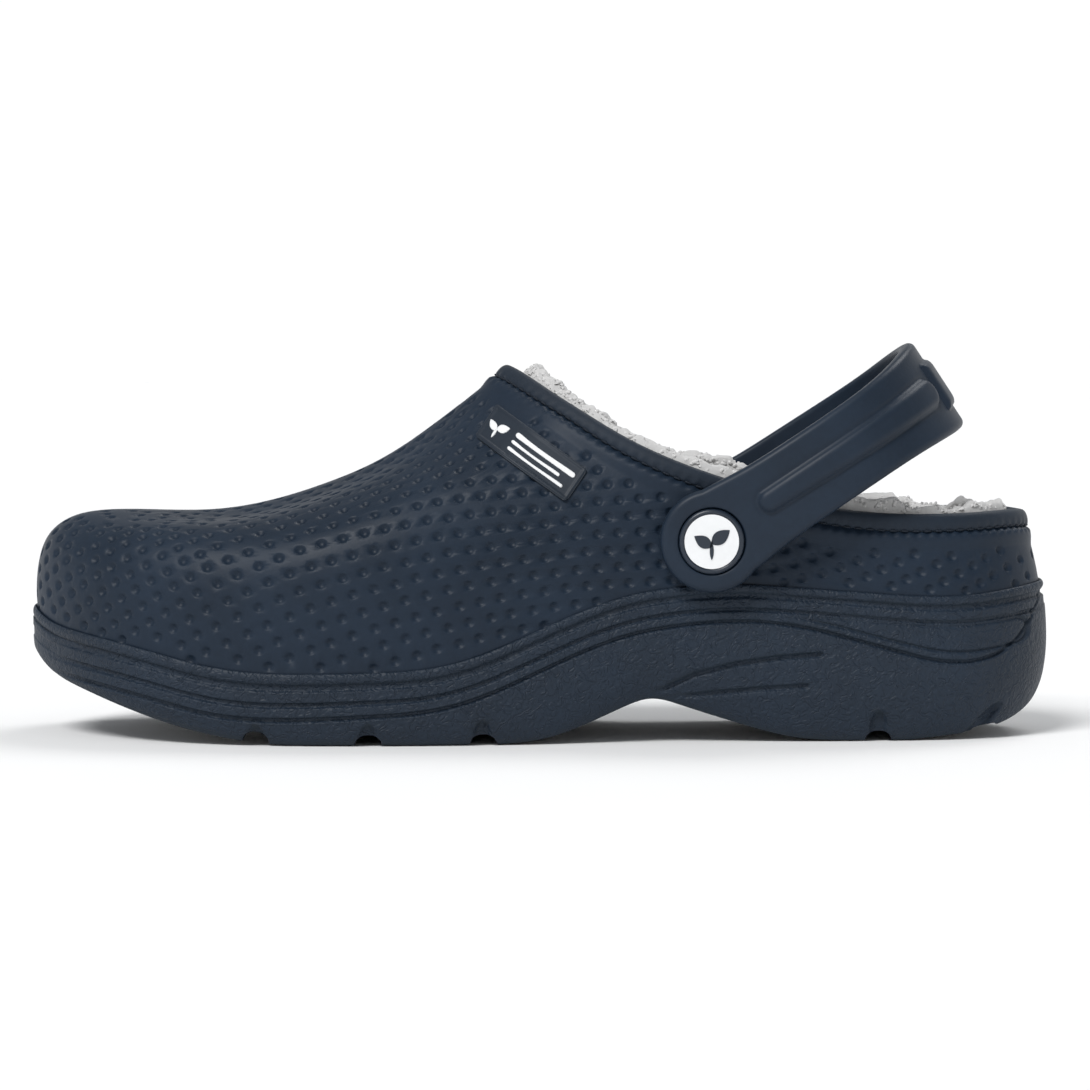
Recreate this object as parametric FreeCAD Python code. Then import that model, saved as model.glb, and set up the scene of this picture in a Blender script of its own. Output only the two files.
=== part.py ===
import FreeCAD
import Part
import bisect
import math
import os

# Left rubber garden clog with a fleece lining and a swinging heel strap.
#
# Frame, in millimetres: +X towards the heel, -X towards the toe, -Y towards the outer (lateral)
# side of the foot, +Z up. The clog stands on Z = 0, and the origin is the middle of its box.
#
# The upper and the cup of the sole are ring surfaces. One parameter, u, runs once round the foot
# from the middle of the heel along the outer side to the toe and back along the inner side. The
# other runs up the wall: from the sole line, where the upper leaves the sole, to the collar.

Vec = FreeCAD.Vector

# ---------------------------------------------------------------- driving dimensions
LIP = 1.2  # how far the sole's edge stands out beyond the upper
SHELL = 3.0  # wall of the upper
BIND = 0.9  # thickness of the collar binding
BIND_DEPTH = 4.8  # how far the binding reaches down each side of the collar
LEDGE = 2.2  # how deep the upper's lower edge sits in the sole
GAP = 0.1  # clearance left between pieces that are glued or sewn together
LINING = 3.6  # fleece lining, pile included
PILE_RISE = 2.2  # how far the fleece stands above the collar
FOAM = 4.6  # insole foam
PILE = 3.8  # fleece on top of the insole
RIM_DEPTH = 1.0  # the upper's own rim lies this far below the top of the binding

PIVOT_X, PIVOT_Z = 44.1, 52.2  # axis of the strap, parallel to Y
STRAP_REST = 33.3  # degrees above the horizontal, as the strap is left standing
STRAP_REACH = 73.4  # from the axis to the back of the loop
STRAP_THICK = 4.2
EYE_R, EYE_THICK = 13.3, 5.0
EYE_FACE = (-39.1, 34.0)  # inner face of the strap's eye, outer side and inner side of the foot
WASHER = 1.0
BOSS_R = 9.6
BOSS_INNER = 6.9  # from the boss's outer face to its inner face
POST_R, HOLE_R = 3.4, 3.45
HEAD_R, HEAD_THICK = 8.4, 2.5
CAP_R, CAP_THICK = 7.6, 1.5
STUD_R = 1.9

LABEL_CENTRE = (-2.2, 74.2)  # x, z of the side label's middle
LABEL_SIZE = (28.6, 10.0)
LABEL_SLOPE = -35.0  # degrees, down towards the heel
LABEL_THICK = 1.1

STITCH_PITCH, STITCH_LENGTH, STITCH_R = 3.1, 2.1, 0.35
STITCH_DEPTH = 4.0  # of the seam below the collar's top

AROUND = 96  # poles round a ring
UP = 30  # poles up the wall

# Where the outline turns: (edge of sole x, y) (collar x, y, z) (toe share, quarter share).
# The shares say how much the wall's profile there is the toe's or the quarter's own.
STATIONS = [
    (133.7, 1.0, 127.8, 0.5, 59.0, 0, 1),
    (129.5, -15.5, 124.3, -11.5, 59.4, 0, 1),
    (118.0, -27.0, 114.5, -22.0, 59.1, 0, 1),
    (98.0, -33.2, 97.5, -28.8, 58.8, 0, 1),
    (70.0, -35.8, 74.0, -31.6, 61.0, 0, 1),
    (40.0, -38.6, 50.0, -33.4, 67.6, 0, 0.9),
    (10.0, -42.8, 33.0, -32.0, 73.8, 0, 0.45),
    (-20.0, -47.2, 21.0, -28.2, 79.6, 0, 0.1),
    (-50.0, -49.0, 12.0, -23.5, 85.0, 0, 0),
    (-80.0, -46.2, 5.0, -18.0, 89.3, 0.25, 0),
    (-106.0, -37.0, -1.0, -12.0, 93.2, 0.6, 0),
    (-125.0, -21.0, -6.0, -5.5, 96.2, 0.9, 0),
    (-135.3, 3.0, -8.0, 0.5, 97.1, 1, 0),
    (-129.0, 24.5, -6.3, 6.5, 96.2, 0.9, 0),
    (-112.0, 39.5, -1.5, 12.2, 93.3, 0.6, 0),
    (-88.0, 47.5, 4.5, 17.3, 89.5, 0.25, 0),
    (-60.0, 49.0, 11.5, 21.8, 85.2, 0, 0),
    (-30.0, 44.6, 20.5, 25.3, 79.8, 0, 0.1),
    (0.0, 37.6, 33.0, 27.6, 73.8, 0, 0.45),
    (30.0, 33.4, 48.0, 28.8, 68.4, 0, 0.9),
    (60.0, 32.6, 67.0, 29.2, 62.6, 0, 1),
    (90.0, 33.4, 91.0, 28.9, 59.0, 0, 1),
    (114.0, 29.5, 111.5, 23.8, 59.0, 0, 1),
    (128.0, 17.5, 122.8, 13.3, 59.3, 0, 1),
]

# Profiles of the wall: share of the way up v, share of the run in plan, share of the rise.
RISE_V = [0, 0.06, 0.12, 0.18, 0.24, 0.30, 0.38, 0.47, 0.56, 0.65, 0.74, 0.82, 0.90, 1]
TOE_RUN = [0, -0.002, 0.001, 0.012, 0.035, 0.075, 0.15, 0.26, 0.375, 0.49, 0.61, 0.73, 0.85, 1]
TOE_RISE = [0, 0.075, 0.165, 0.255, 0.325, 0.375, 0.402, 0.402, 0.404, 0.44, 0.512, 0.615, 0.772, 1]
SIDE_RUN = [0, -0.004, -0.006, -0.002, 0.01, 0.03, 0.075, 0.15, 0.25, 0.37, 0.51, 0.65, 0.80, 1]
SIDE_RISE = [0, 0.07, 0.145, 0.22, 0.29, 0.355, 0.435, 0.515, 0.59, 0.665, 0.74, 0.81, 0.89, 1]

# Side view of the sole: its upper edge, its tread and the floor of its cup, as x, z.
SOLE_LINE = [
    (-136, 33.6), (-131, 30.6), (-121, 27.8), (-100, 23.5), (-89.6, 21.0), (-74.5, 18.8),
    (-61, 18.4), (-45.7, 18.7), (-28, 19.9), (-16.7, 22.6), (-4.9, 27.3), (11.8, 34.5),
    (23.7, 38.3), (35.6, 40.2), (53.4, 40.9), (65, 40.1), (83, 38.7), (97, 37.7), (110.7, 37.6),
    (122, 38.8), (134.5, 40.4),
]
TREAD_TOE = [(-136, 24), (-131.8, 19.4), (-127.8, 16.2), (-121, 13.2), (-109, 9.0), (-92.5, 4.0),
             (-76.8, 1.0), (-66, 0)]
FOREFOOT_FLAT = (-66, -12)
TREAD_ARCH = [(-12, 0), (0, 1.0), (10.3, 4.2), (20.6, 8.7), (29.0, 11.2), (36.1, 9.6),
              (46.4, 6.2), (56.8, 3.0), (67.2, 0.7), (76, 0)]
HEEL_FLAT = (76, 96)
TREAD_HEEL = [(96, 0), (109, 1.3), (120, 3.4), (127, 6.6), (131.5, 11), (136, 20)]
CUP_FLOOR = [(-140, 24), (-128, 20), (-121, 17.8), (-110, 14.6), (-100, 12.4), (-87, 10.4),
             (-70, 9.2), (-50, 9.0), (-25, 10.2), (0, 13.2), (22, 17.6), (40, 18.6), (60, 17.6),
             (90, 16.5), (120, 17), (140, 18)]
# Rows down the side of the sole: depth below its edge, how far in, share of the panel's dip.
SIDE_GROOVES = [
    (0.9, 0, 0), (2.4, 0, 0), (3.1, 1.1, 0), (4.2, 1.1, 0), (4.9, 0.25, 0), (6.7, 0.25, 0),
    (7.5, 1.2, 0.1), (8.4, 0.35, 1), (10.3, 0.35, 1), (11.1, 1.2, 1), (12.1, 0.35, 1),
]
PANEL_DIP = [(-140, 0), (60, 0), (75, 1.2), (90, 4.2), (104, 7.0), (113, 7.2), (121, 5.6), (140, 0)]
GROOVES = [(-73.0, 0.2, 3.3), (-44.0, -0.9, 3.5), (-14.5, -0.9, 3.5), (88.0, -0.9, 3.3),
           (116.0, 1.6, 3.3)]


# ---------------------------------------------------------------- splines
def cubic(knots, values, period=None):
    """The cubic spline through values at knots, closed if a period is given."""
    x, y = list(knots), list(values)
    if period:
        x.append(x[0] + period)
        y.append(y[0])
    n = len(x) - 1
    step = [x[i + 1] - x[i] for i in range(n)]
    slope = [(y[i + 1] - y[i]) / step[i] for i in range(n)]
    size = n if period else n + 1
    rows = [[0.0] * (size + 1) for _ in range(size)]
    for i in range(size):
        if not period and i in (0, n):
            rows[i][i] = 1.0
            continue
        before = step[i - 1]
        rows[i][(i - 1) % size] += before
        rows[i][i] += 2 * (before + step[i])
        rows[i][(i + 1) % size] += step[i]
        rows[i][size] = 6 * (slope[i] - slope[i - 1])
    bend = solve(rows)
    if period:
        bend.append(bend[0])

    def value(t):
        if period:
            t = (t - x[0]) % period + x[0]
        i = min(max(bisect.bisect_right(x, t) - 1, 0), n - 1)
        h, left, right = step[i], t - x[i], x[i + 1] - t
        return (
            (bend[i] * right**3 + bend[i + 1] * left**3) / (6 * h)
            + (y[i] / h - bend[i] * h / 6) * right
            + (y[i + 1] / h - bend[i + 1] * h / 6) * left
        )

    return value


def solve(rows):
    """Solves a small set of linear equations, each row ending with its right-hand side."""
    n = len(rows)
    for i in range(n):
        best = max(range(i, n), key=lambda r: abs(rows[r][i]))
        rows[i], rows[best] = rows[best], rows[i]
        for r in range(i + 1, n):
            share = rows[r][i] / rows[i][i]
            if share:
                rows[r] = [a - share * b for a, b in zip(rows[r], rows[i])]
    out = [0.0] * n
    for i in reversed(range(n)):
        out[i] = (rows[i][n] - sum(rows[i][k] * out[k] for k in range(i + 1, n))) / rows[i][i]
    return out


def graph(points):
    return cubic([p[0] for p in points], [p[1] for p in points])


sole_line = graph(SOLE_LINE)
cup_floor = graph(CUP_FLOOR)
tread_toe = graph(TREAD_TOE)
tread_arch = graph(TREAD_ARCH)
tread_heel = graph(TREAD_HEEL)
panel_dip = graph(PANEL_DIP)
toe_run, toe_rise = cubic(RISE_V, TOE_RUN), cubic(RISE_V, TOE_RISE)
side_run, side_rise = cubic(RISE_V, SIDE_RUN), cubic(RISE_V, SIDE_RISE)


def tread(x):
    """Height of the tread at x."""
    if x < FOREFOOT_FLAT[0]:
        return tread_toe(max(x, TREAD_TOE[0][0]))
    if FOREFOOT_FLAT[1] < x < HEEL_FLAT[0]:
        return tread_arch(x)
    return tread_heel(min(x, TREAD_HEEL[-1][0])) if x > HEEL_FLAT[1] else 0.0


def around_the_foot():
    """A closed spline for each column of STATIONS, by the length along the sole's edge."""
    along, total = [], 0.0
    for i, here in enumerate(STATIONS):
        along.append(total)
        after = STATIONS[(i + 1) % len(STATIONS)]
        total += math.hypot(after[0] - here[0], after[1] - here[1])
    return [cubic(along, column, total) for column in zip(*STATIONS)], total


COLUMNS, PERIMETER = around_the_foot()


def edge_of_sole(u, inset=0.0):
    """Point x, y on the sole's edge, moved inwards. u is 0 to 1."""
    s = u * PERIMETER
    x, y = COLUMNS[0](s), COLUMNS[1](s)
    dx = COLUMNS[0](s + 0.5) - COLUMNS[0](s - 0.5)
    dy = COLUMNS[1](s + 0.5) - COLUMNS[1](s - 0.5)
    size = math.hypot(dx, dy)
    return x + inset * dy / size, y - inset * dx / size


def wall_point(u, v):
    """Point on the outside of the upper: v is 0 at the sole line and 1 at the collar."""
    s = u * PERIMETER
    collar = Vec(*(COLUMNS[k](s) for k in (2, 3, 4)))
    x, y = edge_of_sole(u, LIP)
    foot = Vec(x, y, sole_line(x))
    toe, quarter = COLUMNS[5](s), COLUMNS[6](s)
    side = 1 - toe - quarter
    run = toe * toe_run(v) + side * side_run(v) + quarter * v**1.2
    rise = toe * toe_rise(v) + side * side_rise(v) + quarter * v
    return Vec(
        foot.x + run * (collar.x - foot.x),
        foot.y + run * (collar.y - foot.y),
        foot.z + rise * (collar.z - foot.z),
    )


def wall(u, v, out=0.0):
    """Point on the upper's outside, moved out along its normal. Past v = 1 it goes straight on."""
    if v > 1:
        top, below = wall_point(u, 1), wall_point(u, 0.98)
        point = top + (top - below) * ((v - 1) / 0.02)
        v = 1
    else:
        point = wall_point(u, v)
    if not out:
        return point
    low, high = (v - 0.01, v) if v > 0.99 else (v, v + 0.01)
    up = wall_point(u, high) - wall_point(u, low)
    forward = wall_point(u + 0.002, min(v, 1)) - wall_point(u - 0.002, min(v, 1))
    return point + up.cross(forward).normalize() * out


def v_at_depth(u, depth):
    """The v of the point that lies this far below the collar along the wall."""
    top, below = wall_point(u, 1), wall_point(u, 0.98)
    if depth <= 0:
        return 1 - depth * 0.02 / (top - below).Length
    v, last, left, step = 1.0, top, depth, 0.005
    while v > 0:
        here = wall_point(u, v - step)
        length = (here - last).Length
        if length >= left:
            return v - step * left / length
        left -= length
        last, v = here, v - step
    return v


# ---------------------------------------------------------------- rings
def loop(out, v=None, depth=None):
    """Poles once round the upper, at a share of the wall's height or at a depth below the collar."""
    points = []
    for i in range(AROUND):
        u = i / AROUND
        points.append(wall(u, v if depth is None else v_at_depth(u, depth), out))
    return points


def loops_up(out, top_depth, drop):
    """Poles up the whole wall, from a drop below the sole line to a depth below the collar."""
    rows = []
    for share in (1, 0.6, 0.25):
        row = []
        for i in range(AROUND):
            x, _ = edge_of_sole(i / AROUND, LIP)
            inner_x, inner_y = edge_of_sole(i / AROUND, LIP - out)
            row.append(Vec(inner_x, inner_y, sole_line(x) - share * drop(x)))
        rows.append(row)
    tops = [v_at_depth(i / AROUND, top_depth) for i in range(AROUND)]
    for j in range(UP):
        share = j / (UP - 1)
        rows.append([wall(i / AROUND, share * top, out) for i, top in enumerate(tops)])
    return rows


def ring_faces(rows):
    """Faces through closed loops of poles, one for each half of the foot: ruled between two."""
    surface = Part.BSplineSurface()
    degree = 1 if len(rows) == 2 else 3
    inner = len(rows) - degree - 1
    surface.buildFromPolesMultsKnots(
        [[row[i] for row in rows] for i in range(AROUND)],
        [1] * (AROUND + 1),
        [degree + 1] + [1] * inner + [degree + 1],
        [float(i) for i in range(AROUND + 1)],
        [float(i) for i in range(inner + 2)],
        True,
        False,
        3,
        degree,
    )
    faces = []
    for start in (0, AROUND // 2):
        half = surface.copy()
        half.segment(start, start + AROUND // 2, 0, inner + 1)
        faces.append(half.toShape())
    return faces


def cap_face(row):
    """The flat face inside a level loop of poles."""
    curve = Part.BSplineCurve()
    knots = [float(i) for i in range(AROUND + 1)]
    curve.buildFromPolesMultsKnots(row, [1] * (AROUND + 1), knots, True, 3)
    edges = []
    for start in (0, AROUND // 2):
        half = curve.copy()
        half.segment(start, start + AROUND // 2)
        edges.append(half.toShape())
    return Part.Face(Part.Wire(edges))


def closed_solid(faces):
    shell = Part.Shell(faces)
    shell.sewShape()
    solid = Part.Solid(shell)
    if solid.Volume < 0:
        solid.reverse()
    return solid


def ring_solid(walls):
    """A solid ring whose section is closed by the given walls, each a list of loops."""
    return closed_solid([face for rows in walls for face in ring_faces(rows)])


def side_prism(outline, y0=-70.0, y1=70.0):
    """A side-view outline of edges, carried right across the foot."""
    face = Part.Face(Part.Wire(outline))
    face.translate(Vec(0, y0, 0))
    return face.extrude(Vec(0, y1 - y0, 0))


def side_curve(function, x0, x1, count, lift=0.0):
    """A smooth edge through a side-view graph between two places."""
    xs = [x0 + (x1 - x0) * i / (count - 1) for i in range(count)]
    curve = Part.BSplineCurve()
    curve.interpolate([Vec(x, 0, function(x) + lift) for x in xs])
    return curve.toShape()


def line(a, b):
    return Part.LineSegment(a, b).toShape()


def outline_prism(inset, z0, z1):
    """The foot's outline, moved in from the sole's edge and carried upwards."""
    curve = Part.BSplineCurve()
    points = [edge_of_sole(i / AROUND, inset) for i in range(AROUND)]
    curve.interpolate([Vec(x, y, z0) for x, y in points], PeriodicFlag=True)
    return Part.Face(Part.Wire(curve.toShape())).extrude(Vec(0, 0, z1 - z0))


def band_prism(low, high):
    """Everything between the cup's floor raised by low and raised by high."""
    x0, x1 = CUP_FLOOR[0][0], CUP_FLOOR[-1][0]
    bottom = side_curve(cup_floor, x0, x1, 40, low)
    top = side_curve(cup_floor, x0, x1, 40, high)
    ends = [
        line(Vec(x, 0, cup_floor(x) + low), Vec(x, 0, cup_floor(x) + high)) for x in (x0, x1)
    ]
    return side_prism([bottom, ends[1], top, ends[0]])


# ---------------------------------------------------------------- the sole and the upper
def sole_side_inset(u, share):
    """How far the sole's side lies inside its edge, at a share of the way down to the tread."""
    toe, quarter = COLUMNS[5](u * PERIMETER), COLUMNS[6](u * PERIMETER)
    under = 4.5 + 3.5 * toe
    bulge = 1.2 * quarter * math.sin(math.pi * min(share, 1.0))
    return under * (1 - math.sqrt(max(0.0, 1 - min(share, 1.0) ** 5))) - bulge


def groove_strength(x):
    """The side grooves die away at the very tip of the toe and in the middle of the heel."""
    return min(1.0, max(0.0, (x + 130) / 10)) * min(1.0, max(0.0, (133 - x) / 8))


def sole_bottom(u):
    """Where the rounded side ends, a little below the tread."""
    x, _ = edge_of_sole(u, sole_side_inset(u, 1))
    return tread(x) - 0.6


def sole_side_row(depth, inset, dips):
    """Poles once round the sole at a depth below its edge, sunk by inset along a groove."""
    row = []
    for i in range(AROUND):
        u = i / AROUND
        x, _ = edge_of_sole(u)
        top, bottom = sole_line(x), sole_bottom(u)
        here = depth + dips * panel_dip(x)
        share = min(here / (top - bottom), 0.9)
        x, y = edge_of_sole(u, inset * groove_strength(x) + sole_side_inset(u, share))
        row.append(Vec(x, y, top + share * (bottom - top)))
    return row


def make_sole():
    grooved = [[Vec(*edge_of_sole(i / AROUND), 50) for i in range(AROUND)]]
    grooved += [sole_side_row(*groove) for groove in SIDE_GROOVES]
    rounded = [grooved[-1]]
    for share in (0.2, 0.4, 0.6, 0.75, 0.88, 1.0):
        row = []
        for i, above in enumerate(grooved[-1]):
            u = i / AROUND
            x, _ = edge_of_sole(u)
            top, bottom = sole_line(x), sole_bottom(u)
            start = (top - above.z) / (top - bottom)
            at = start + share * (1 - start)
            groove = SIDE_GROOVES[-1][1] * groove_strength(x) * (1 - share)
            x, y = edge_of_sole(u, groove + sole_side_inset(u, at))
            row.append(Vec(x, y, top + at * (bottom - top)))
        rounded.append(row)
    rounded = [rounded, [rounded[-1], [Vec(p.x, p.y, -6.0) for p in rounded[-1]]]]
    walls = list(zip(grooved, grooved[1:])) + rounded
    faces = [face for rows in walls for face in ring_faces(rows)]
    side = closed_solid(faces + [cap_face(grooved[0]), cap_face(rounded[1][1])])
    x0, x1 = TREAD_TOE[0][0], TREAD_HEEL[-1][0]
    profile = side_prism(
        [
            side_curve(tread_toe, x0, FOREFOOT_FLAT[0], 16),
            line(Vec(FOREFOOT_FLAT[0], 0, 0), Vec(FOREFOOT_FLAT[1], 0, 0)),
            side_curve(tread_arch, FOREFOOT_FLAT[1], HEEL_FLAT[0], 20),
            line(Vec(HEEL_FLAT[0], 0, 0), Vec(HEEL_FLAT[1], 0, 0)),
            side_curve(tread_heel, HEEL_FLAT[1], x1, 14),
            line(Vec(x1, 0, tread_heel(x1)), Vec(x1, 0, sole_line(x1))),
            side_curve(sole_line, x1, x0, 60),
            line(Vec(x0, 0, sole_line(x0)), Vec(x0, 0, tread_toe(x0))),
        ]
    )
    sole = side.common(profile)
    inside = LIP - lining_offsets()[0] - GAP
    for inset, floor, drop in ((LIP - GAP, sole_line, LEDGE + GAP), (inside, cup_floor, 0)):
        x0, x1 = SOLE_LINE[0][0], SOLE_LINE[-1][0]
        hollow = side_prism(
            [
                side_curve(floor, x0, x1, 60, -drop),
                line(Vec(x1, 0, floor(x1) - drop), Vec(x1, 0, 90)),
                line(Vec(x1, 0, 90), Vec(x0, 0, 90)),
                line(Vec(x0, 0, 90), Vec(x0, 0, floor(x0) - drop)),
            ]
        )
        sole = sole.cut(outline_prism(inset, 0, 70).common(hollow))
    for x, z, radius in GROOVES:
        sole = sole.cut(Part.makeCylinder(radius, 140, Vec(x, -70, z), Vec(0, 1, 0)))
    return sole


def boss(side):
    """The flat seat moulded round a rivet hole. side is 0 for the outer side of the foot."""
    sign = (-1, 1)[side]
    face = EYE_FACE[side] - sign * WASHER
    return Part.makeCylinder(BOSS_R, BOSS_INNER, Vec(PIVOT_X, face, PIVOT_Z), Vec(0, -sign, 0))


def pivot_hole(radius, y0, y1):
    return Part.makeCylinder(radius, y1 - y0, Vec(PIVOT_X, y0, PIVOT_Z), Vec(0, 1, 0))


def make_upper():
    outer, inner = (loops_up(out, RIM_DEPTH, lambda x: LEDGE) for out in (0, -SHELL))
    shell = ring_solid([outer, [outer[-1], inner[-1]], inner[::-1], [inner[0], outer[0]]])
    for side in (0, 1):
        shell = shell.fuse(boss(side))
    return shell.cut(pivot_hole(HOLE_R, -70, 70))


# ---------------------------------------------------------------- soft pieces
def make_binding():
    inside = -(SHELL + GAP)
    section = [
        (BIND_DEPTH, GAP), (BIND_DEPTH, BIND), (RIM_DEPTH, BIND), (0, BIND - 0.5),
        (0, inside - BIND + 0.6), (RIM_DEPTH, inside - BIND + GAP),
        (BIND_DEPTH, inside - BIND + GAP), (BIND_DEPTH, inside),
        (RIM_DEPTH - GAP, inside), (RIM_DEPTH - GAP, GAP),
    ]
    loops = [loop(out, depth=depth) for depth, out in section]
    return ring_solid([[loops[i - 1], loops[i]] for i in range(len(loops))])


def lining_offsets():
    outside = -(SHELL + BIND + 2 * GAP)
    return outside, outside - LINING


def cup_depth(x):
    return sole_line(x) - cup_floor(x) - GAP


def make_lining():
    """The fleece sock as a ring, cut at the side seams into a vamp and a quarter lining."""
    outside, inside = lining_offsets()
    outer, inner = (loops_up(out, -PILE_RISE, cup_depth) for out in (outside, inside))
    sock = ring_solid([outer, [outer[-1], inner[-1]], inner[::-1], [inner[0], outer[0]]])
    for side in (0, 1):
        sign = (-1, 1)[side]
        face = EYE_FACE[side] - sign * (WASHER + BOSS_INNER + CAP_THICK + 2 * GAP)
        pocket = Part.makeCylinder(BOSS_R + 0.4, 20, Vec(PIVOT_X, face, PIVOT_Z), Vec(0, sign, 0))
        sock = sock.cut(pocket)
    seam = PIVOT_X - 17.0
    front = Part.makeBox(200, 140, 160, Vec(seam - 200 - GAP / 2, -70, -10))
    back = Part.makeBox(200, 140, 160, Vec(seam + GAP / 2, -70, -10))
    return sock.common(front), sock.common(back)


def make_insole(low, high):
    inset = LIP - lining_offsets()[1] + 2 * GAP
    return outline_prism(inset, -5, 90).common(band_prism(low, high))


def make_stitching():
    """Straight stitches laid end to end along the seam under the collar."""
    points = [wall(i / 400, v_at_depth(i / 400, STITCH_DEPTH), BIND + STITCH_R + 0.08)
              for i in range(400)]
    lengths = [0.0]
    for i in range(400):
        lengths.append(lengths[-1] + (points[(i + 1) % 400] - points[i]).Length)
    count = round(lengths[-1] / STITCH_PITCH)
    stitches = []
    for k in range(count):
        middle = (k + 0.5) * lengths[-1] / count
        ends = []
        for at in (middle - STITCH_LENGTH / 2, middle + STITCH_LENGTH / 2):
            i = bisect.bisect_right(lengths, at) - 1
            share = (at - lengths[i]) / (lengths[i + 1] - lengths[i])
            ends.append(points[i] + (points[(i + 1) % 400] - points[i]) * share)
        way = ends[1] - ends[0]
        stitches.append(Part.makeCylinder(STITCH_R, way.Length, ends[0], way))
    return Part.makeCompound(stitches)


# ---------------------------------------------------------------- the label
def wall_at(x, z):
    """The u and v of the point on the outer side of the upper that shows at x, z from the side."""
    u, v = 0.3, 0.6
    for _ in range(40):
        here = wall_point(u, v)
        du, dv = wall_point(u + 1e-4, v) - here, wall_point(u, v + 1e-4) - here
        a, b, c, d = du.x / 1e-4, dv.x / 1e-4, du.z / 1e-4, dv.z / 1e-4
        ex, ez = x - here.x, z - here.z
        size = a * d - b * c
        u += 0.7 * (ex * d - b * ez) / size
        v += 0.7 * (a * ez - ex * c) / size
        v = min(max(v, 0.05), 0.99)
    return u, v


def make_label():
    """A thin plate that follows the upper's surface."""
    slope = math.radians(LABEL_SLOPE)
    long_axis, short_axis = (math.cos(slope), math.sin(slope)), (-math.sin(slope), math.cos(slope))
    grids = {GAP: [], LABEL_THICK: []}
    for i in range(9):
        a = (i / 8 - 0.5) * LABEL_SIZE[0]
        for out in grids:
            grids[out].append([])
        for j in range(5):
            b = (j / 4 - 0.5) * LABEL_SIZE[1]
            u, v = wall_at(
                LABEL_CENTRE[0] + a * long_axis[0] + b * short_axis[0],
                LABEL_CENTRE[1] + a * long_axis[1] + b * short_axis[1],
            )
            for out in grids:
                grids[out][-1].append(wall(u, v, out))
    surfaces = []
    for grid in grids.values():
        surface = Part.BSplineSurface()
        surface.interpolate(grid)
        surfaces.append(surface)
    low, high = surfaces
    faces = [s.toShape() for s in surfaces]
    for cut in ("uIso", "vIso"):
        for k in (0, 1):
            bounds = low.bounds()
            at = bounds[k] if cut == "uIso" else bounds[2 + k]
            faces.append(
                Part.makeRuledSurface(
                    getattr(low, cut)(at).toShape(), getattr(high, cut)(at).toShape()
                )
            )
    return closed_solid(faces)


# ---------------------------------------------------------------- the strap and its rivets
STRAP_MIDDLE = (EYE_FACE[0] + EYE_FACE[1]) / 2
EYE_HALF = (EYE_FACE[1] - EYE_FACE[0]) / 2  # from the strap's middle to the eye's inner face


def strap_band(out_extra, thick):
    """The U of the strap in plan, as a solid 40 mm wide centred on the strap's plane."""
    back = STRAP_REACH + out_extra
    half = EYE_HALF + EYE_THICK + out_extra
    outer = [(16, half), (32, half - 1.2), (47, half - 4.6), (60, half - 11.8), (69.5, half - 24)]
    outer = [(a * back / STRAP_REACH, y) for a, y in outer] + [(back, 0)]
    inner = []
    for i, (a, y) in enumerate(outer):
        if i == 0:
            way = Vec(1, 0, 0)
        elif i == len(outer) - 1:
            way = Vec(0, -1, 0)
        else:
            way = Vec(outer[i + 1][0] - outer[i - 1][0], outer[i + 1][1] - outer[i - 1][1], 0)
        way.normalize()
        share = min(1.0, max(0.0, 1 - (a - 16) / 30))
        here = thick + (EYE_THICK - STRAP_THICK) * share * (thick == STRAP_THICK)
        inner.append((a + way.y * here, y - way.x * here))
    edges = []
    eye_inner = inner[0][1]
    curves = []
    for side in (outer, inner):
        whole = [Vec(a, y, -20) for a, y in side]
        whole += [Vec(a, -y, -20) for a, y in reversed(side[:-1])]
        curve = Part.BSplineCurve()
        curve.interpolate(whole, InitialTangent=Vec(40, 0, 0), FinalTangent=Vec(-40, 0, 0))
        curves.append(curve.toShape())
    edges += curves
    for sign in (1, -1):
        front_outer, front_inner = Vec(-15, sign * half, -20), Vec(-15, sign * eye_inner, -20)
        edges.append(line(front_outer, front_inner))
        edges.append(line(front_outer, Vec(outer[0][0], sign * half, -20)))
        edges.append(line(front_inner, Vec(inner[0][0], sign * eye_inner, -20)))
    wire = Part.Wire(Part.__sortEdges__(edges))
    return Part.Face(wire).extrude(Vec(0, 0, 40))


def side_outline(points):
    """A solid across the foot whose side view is the smooth line through points and its mirror."""
    edges = []
    for sign in (1, -1):
        curve = Part.BSplineCurve()
        curve.interpolate([Vec(a, 0, sign * z) for a, z in points])
        edges.append(curve.toShape())
    for a, z in (points[0], points[-1]):
        edges.append(line(Vec(a, 0, z), Vec(a, 0, -z)))
    arm = Part.Face(Part.Wire(Part.__sortEdges__(edges)))
    arm.translate(Vec(0, -60, 0))
    return arm.extrude(Vec(0, 120, 0))


def across(radius, a):
    return Part.makeCylinder(radius, 120, Vec(a, -60, 0), Vec(0, 1, 0))


def make_strap():
    arm = side_outline([(5, 12.33), (16, 11.3), (30, 10.9), (45, 10.9), (62, 11.6), (78, 13.9)])
    strap = strap_band(0, STRAP_THICK).common(arm.fuse(across(EYE_R, 0)))
    rib = side_outline([(17.5, 2.4), (40, 2.7), (60, 3.2), (68, 3.4)]).fuse(across(2.4, 17.5))
    strap = strap.fuse(strap_band(1.3, 3.0).common(rib))
    pad = Part.makeBox(20, 50, 13.7, Vec(STRAP_REACH - 8, -25, -6.85))
    strap = strap.fuse(strap_band(1.3, 3.0).common(pad))
    strap = strap.removeSplitter()
    for side in (0, 1):
        sign = (-1, 1)[side]
        seat_y = sign * (EYE_HALF + EYE_THICK - HEAD_THICK + 0.4)
        strap = strap.cut(Part.makeCylinder(HEAD_R + 0.35, 20, Vec(0, seat_y, 0), Vec(0, sign, 0)))
    strap = strap.cut(across(HOLE_R, 0))
    strap.rotate(Vec(0, 0, 0), Vec(0, 1, 0), -STRAP_REST)
    strap.translate(Vec(PIVOT_X, STRAP_MIDDLE, PIVOT_Z))
    return strap


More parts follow.
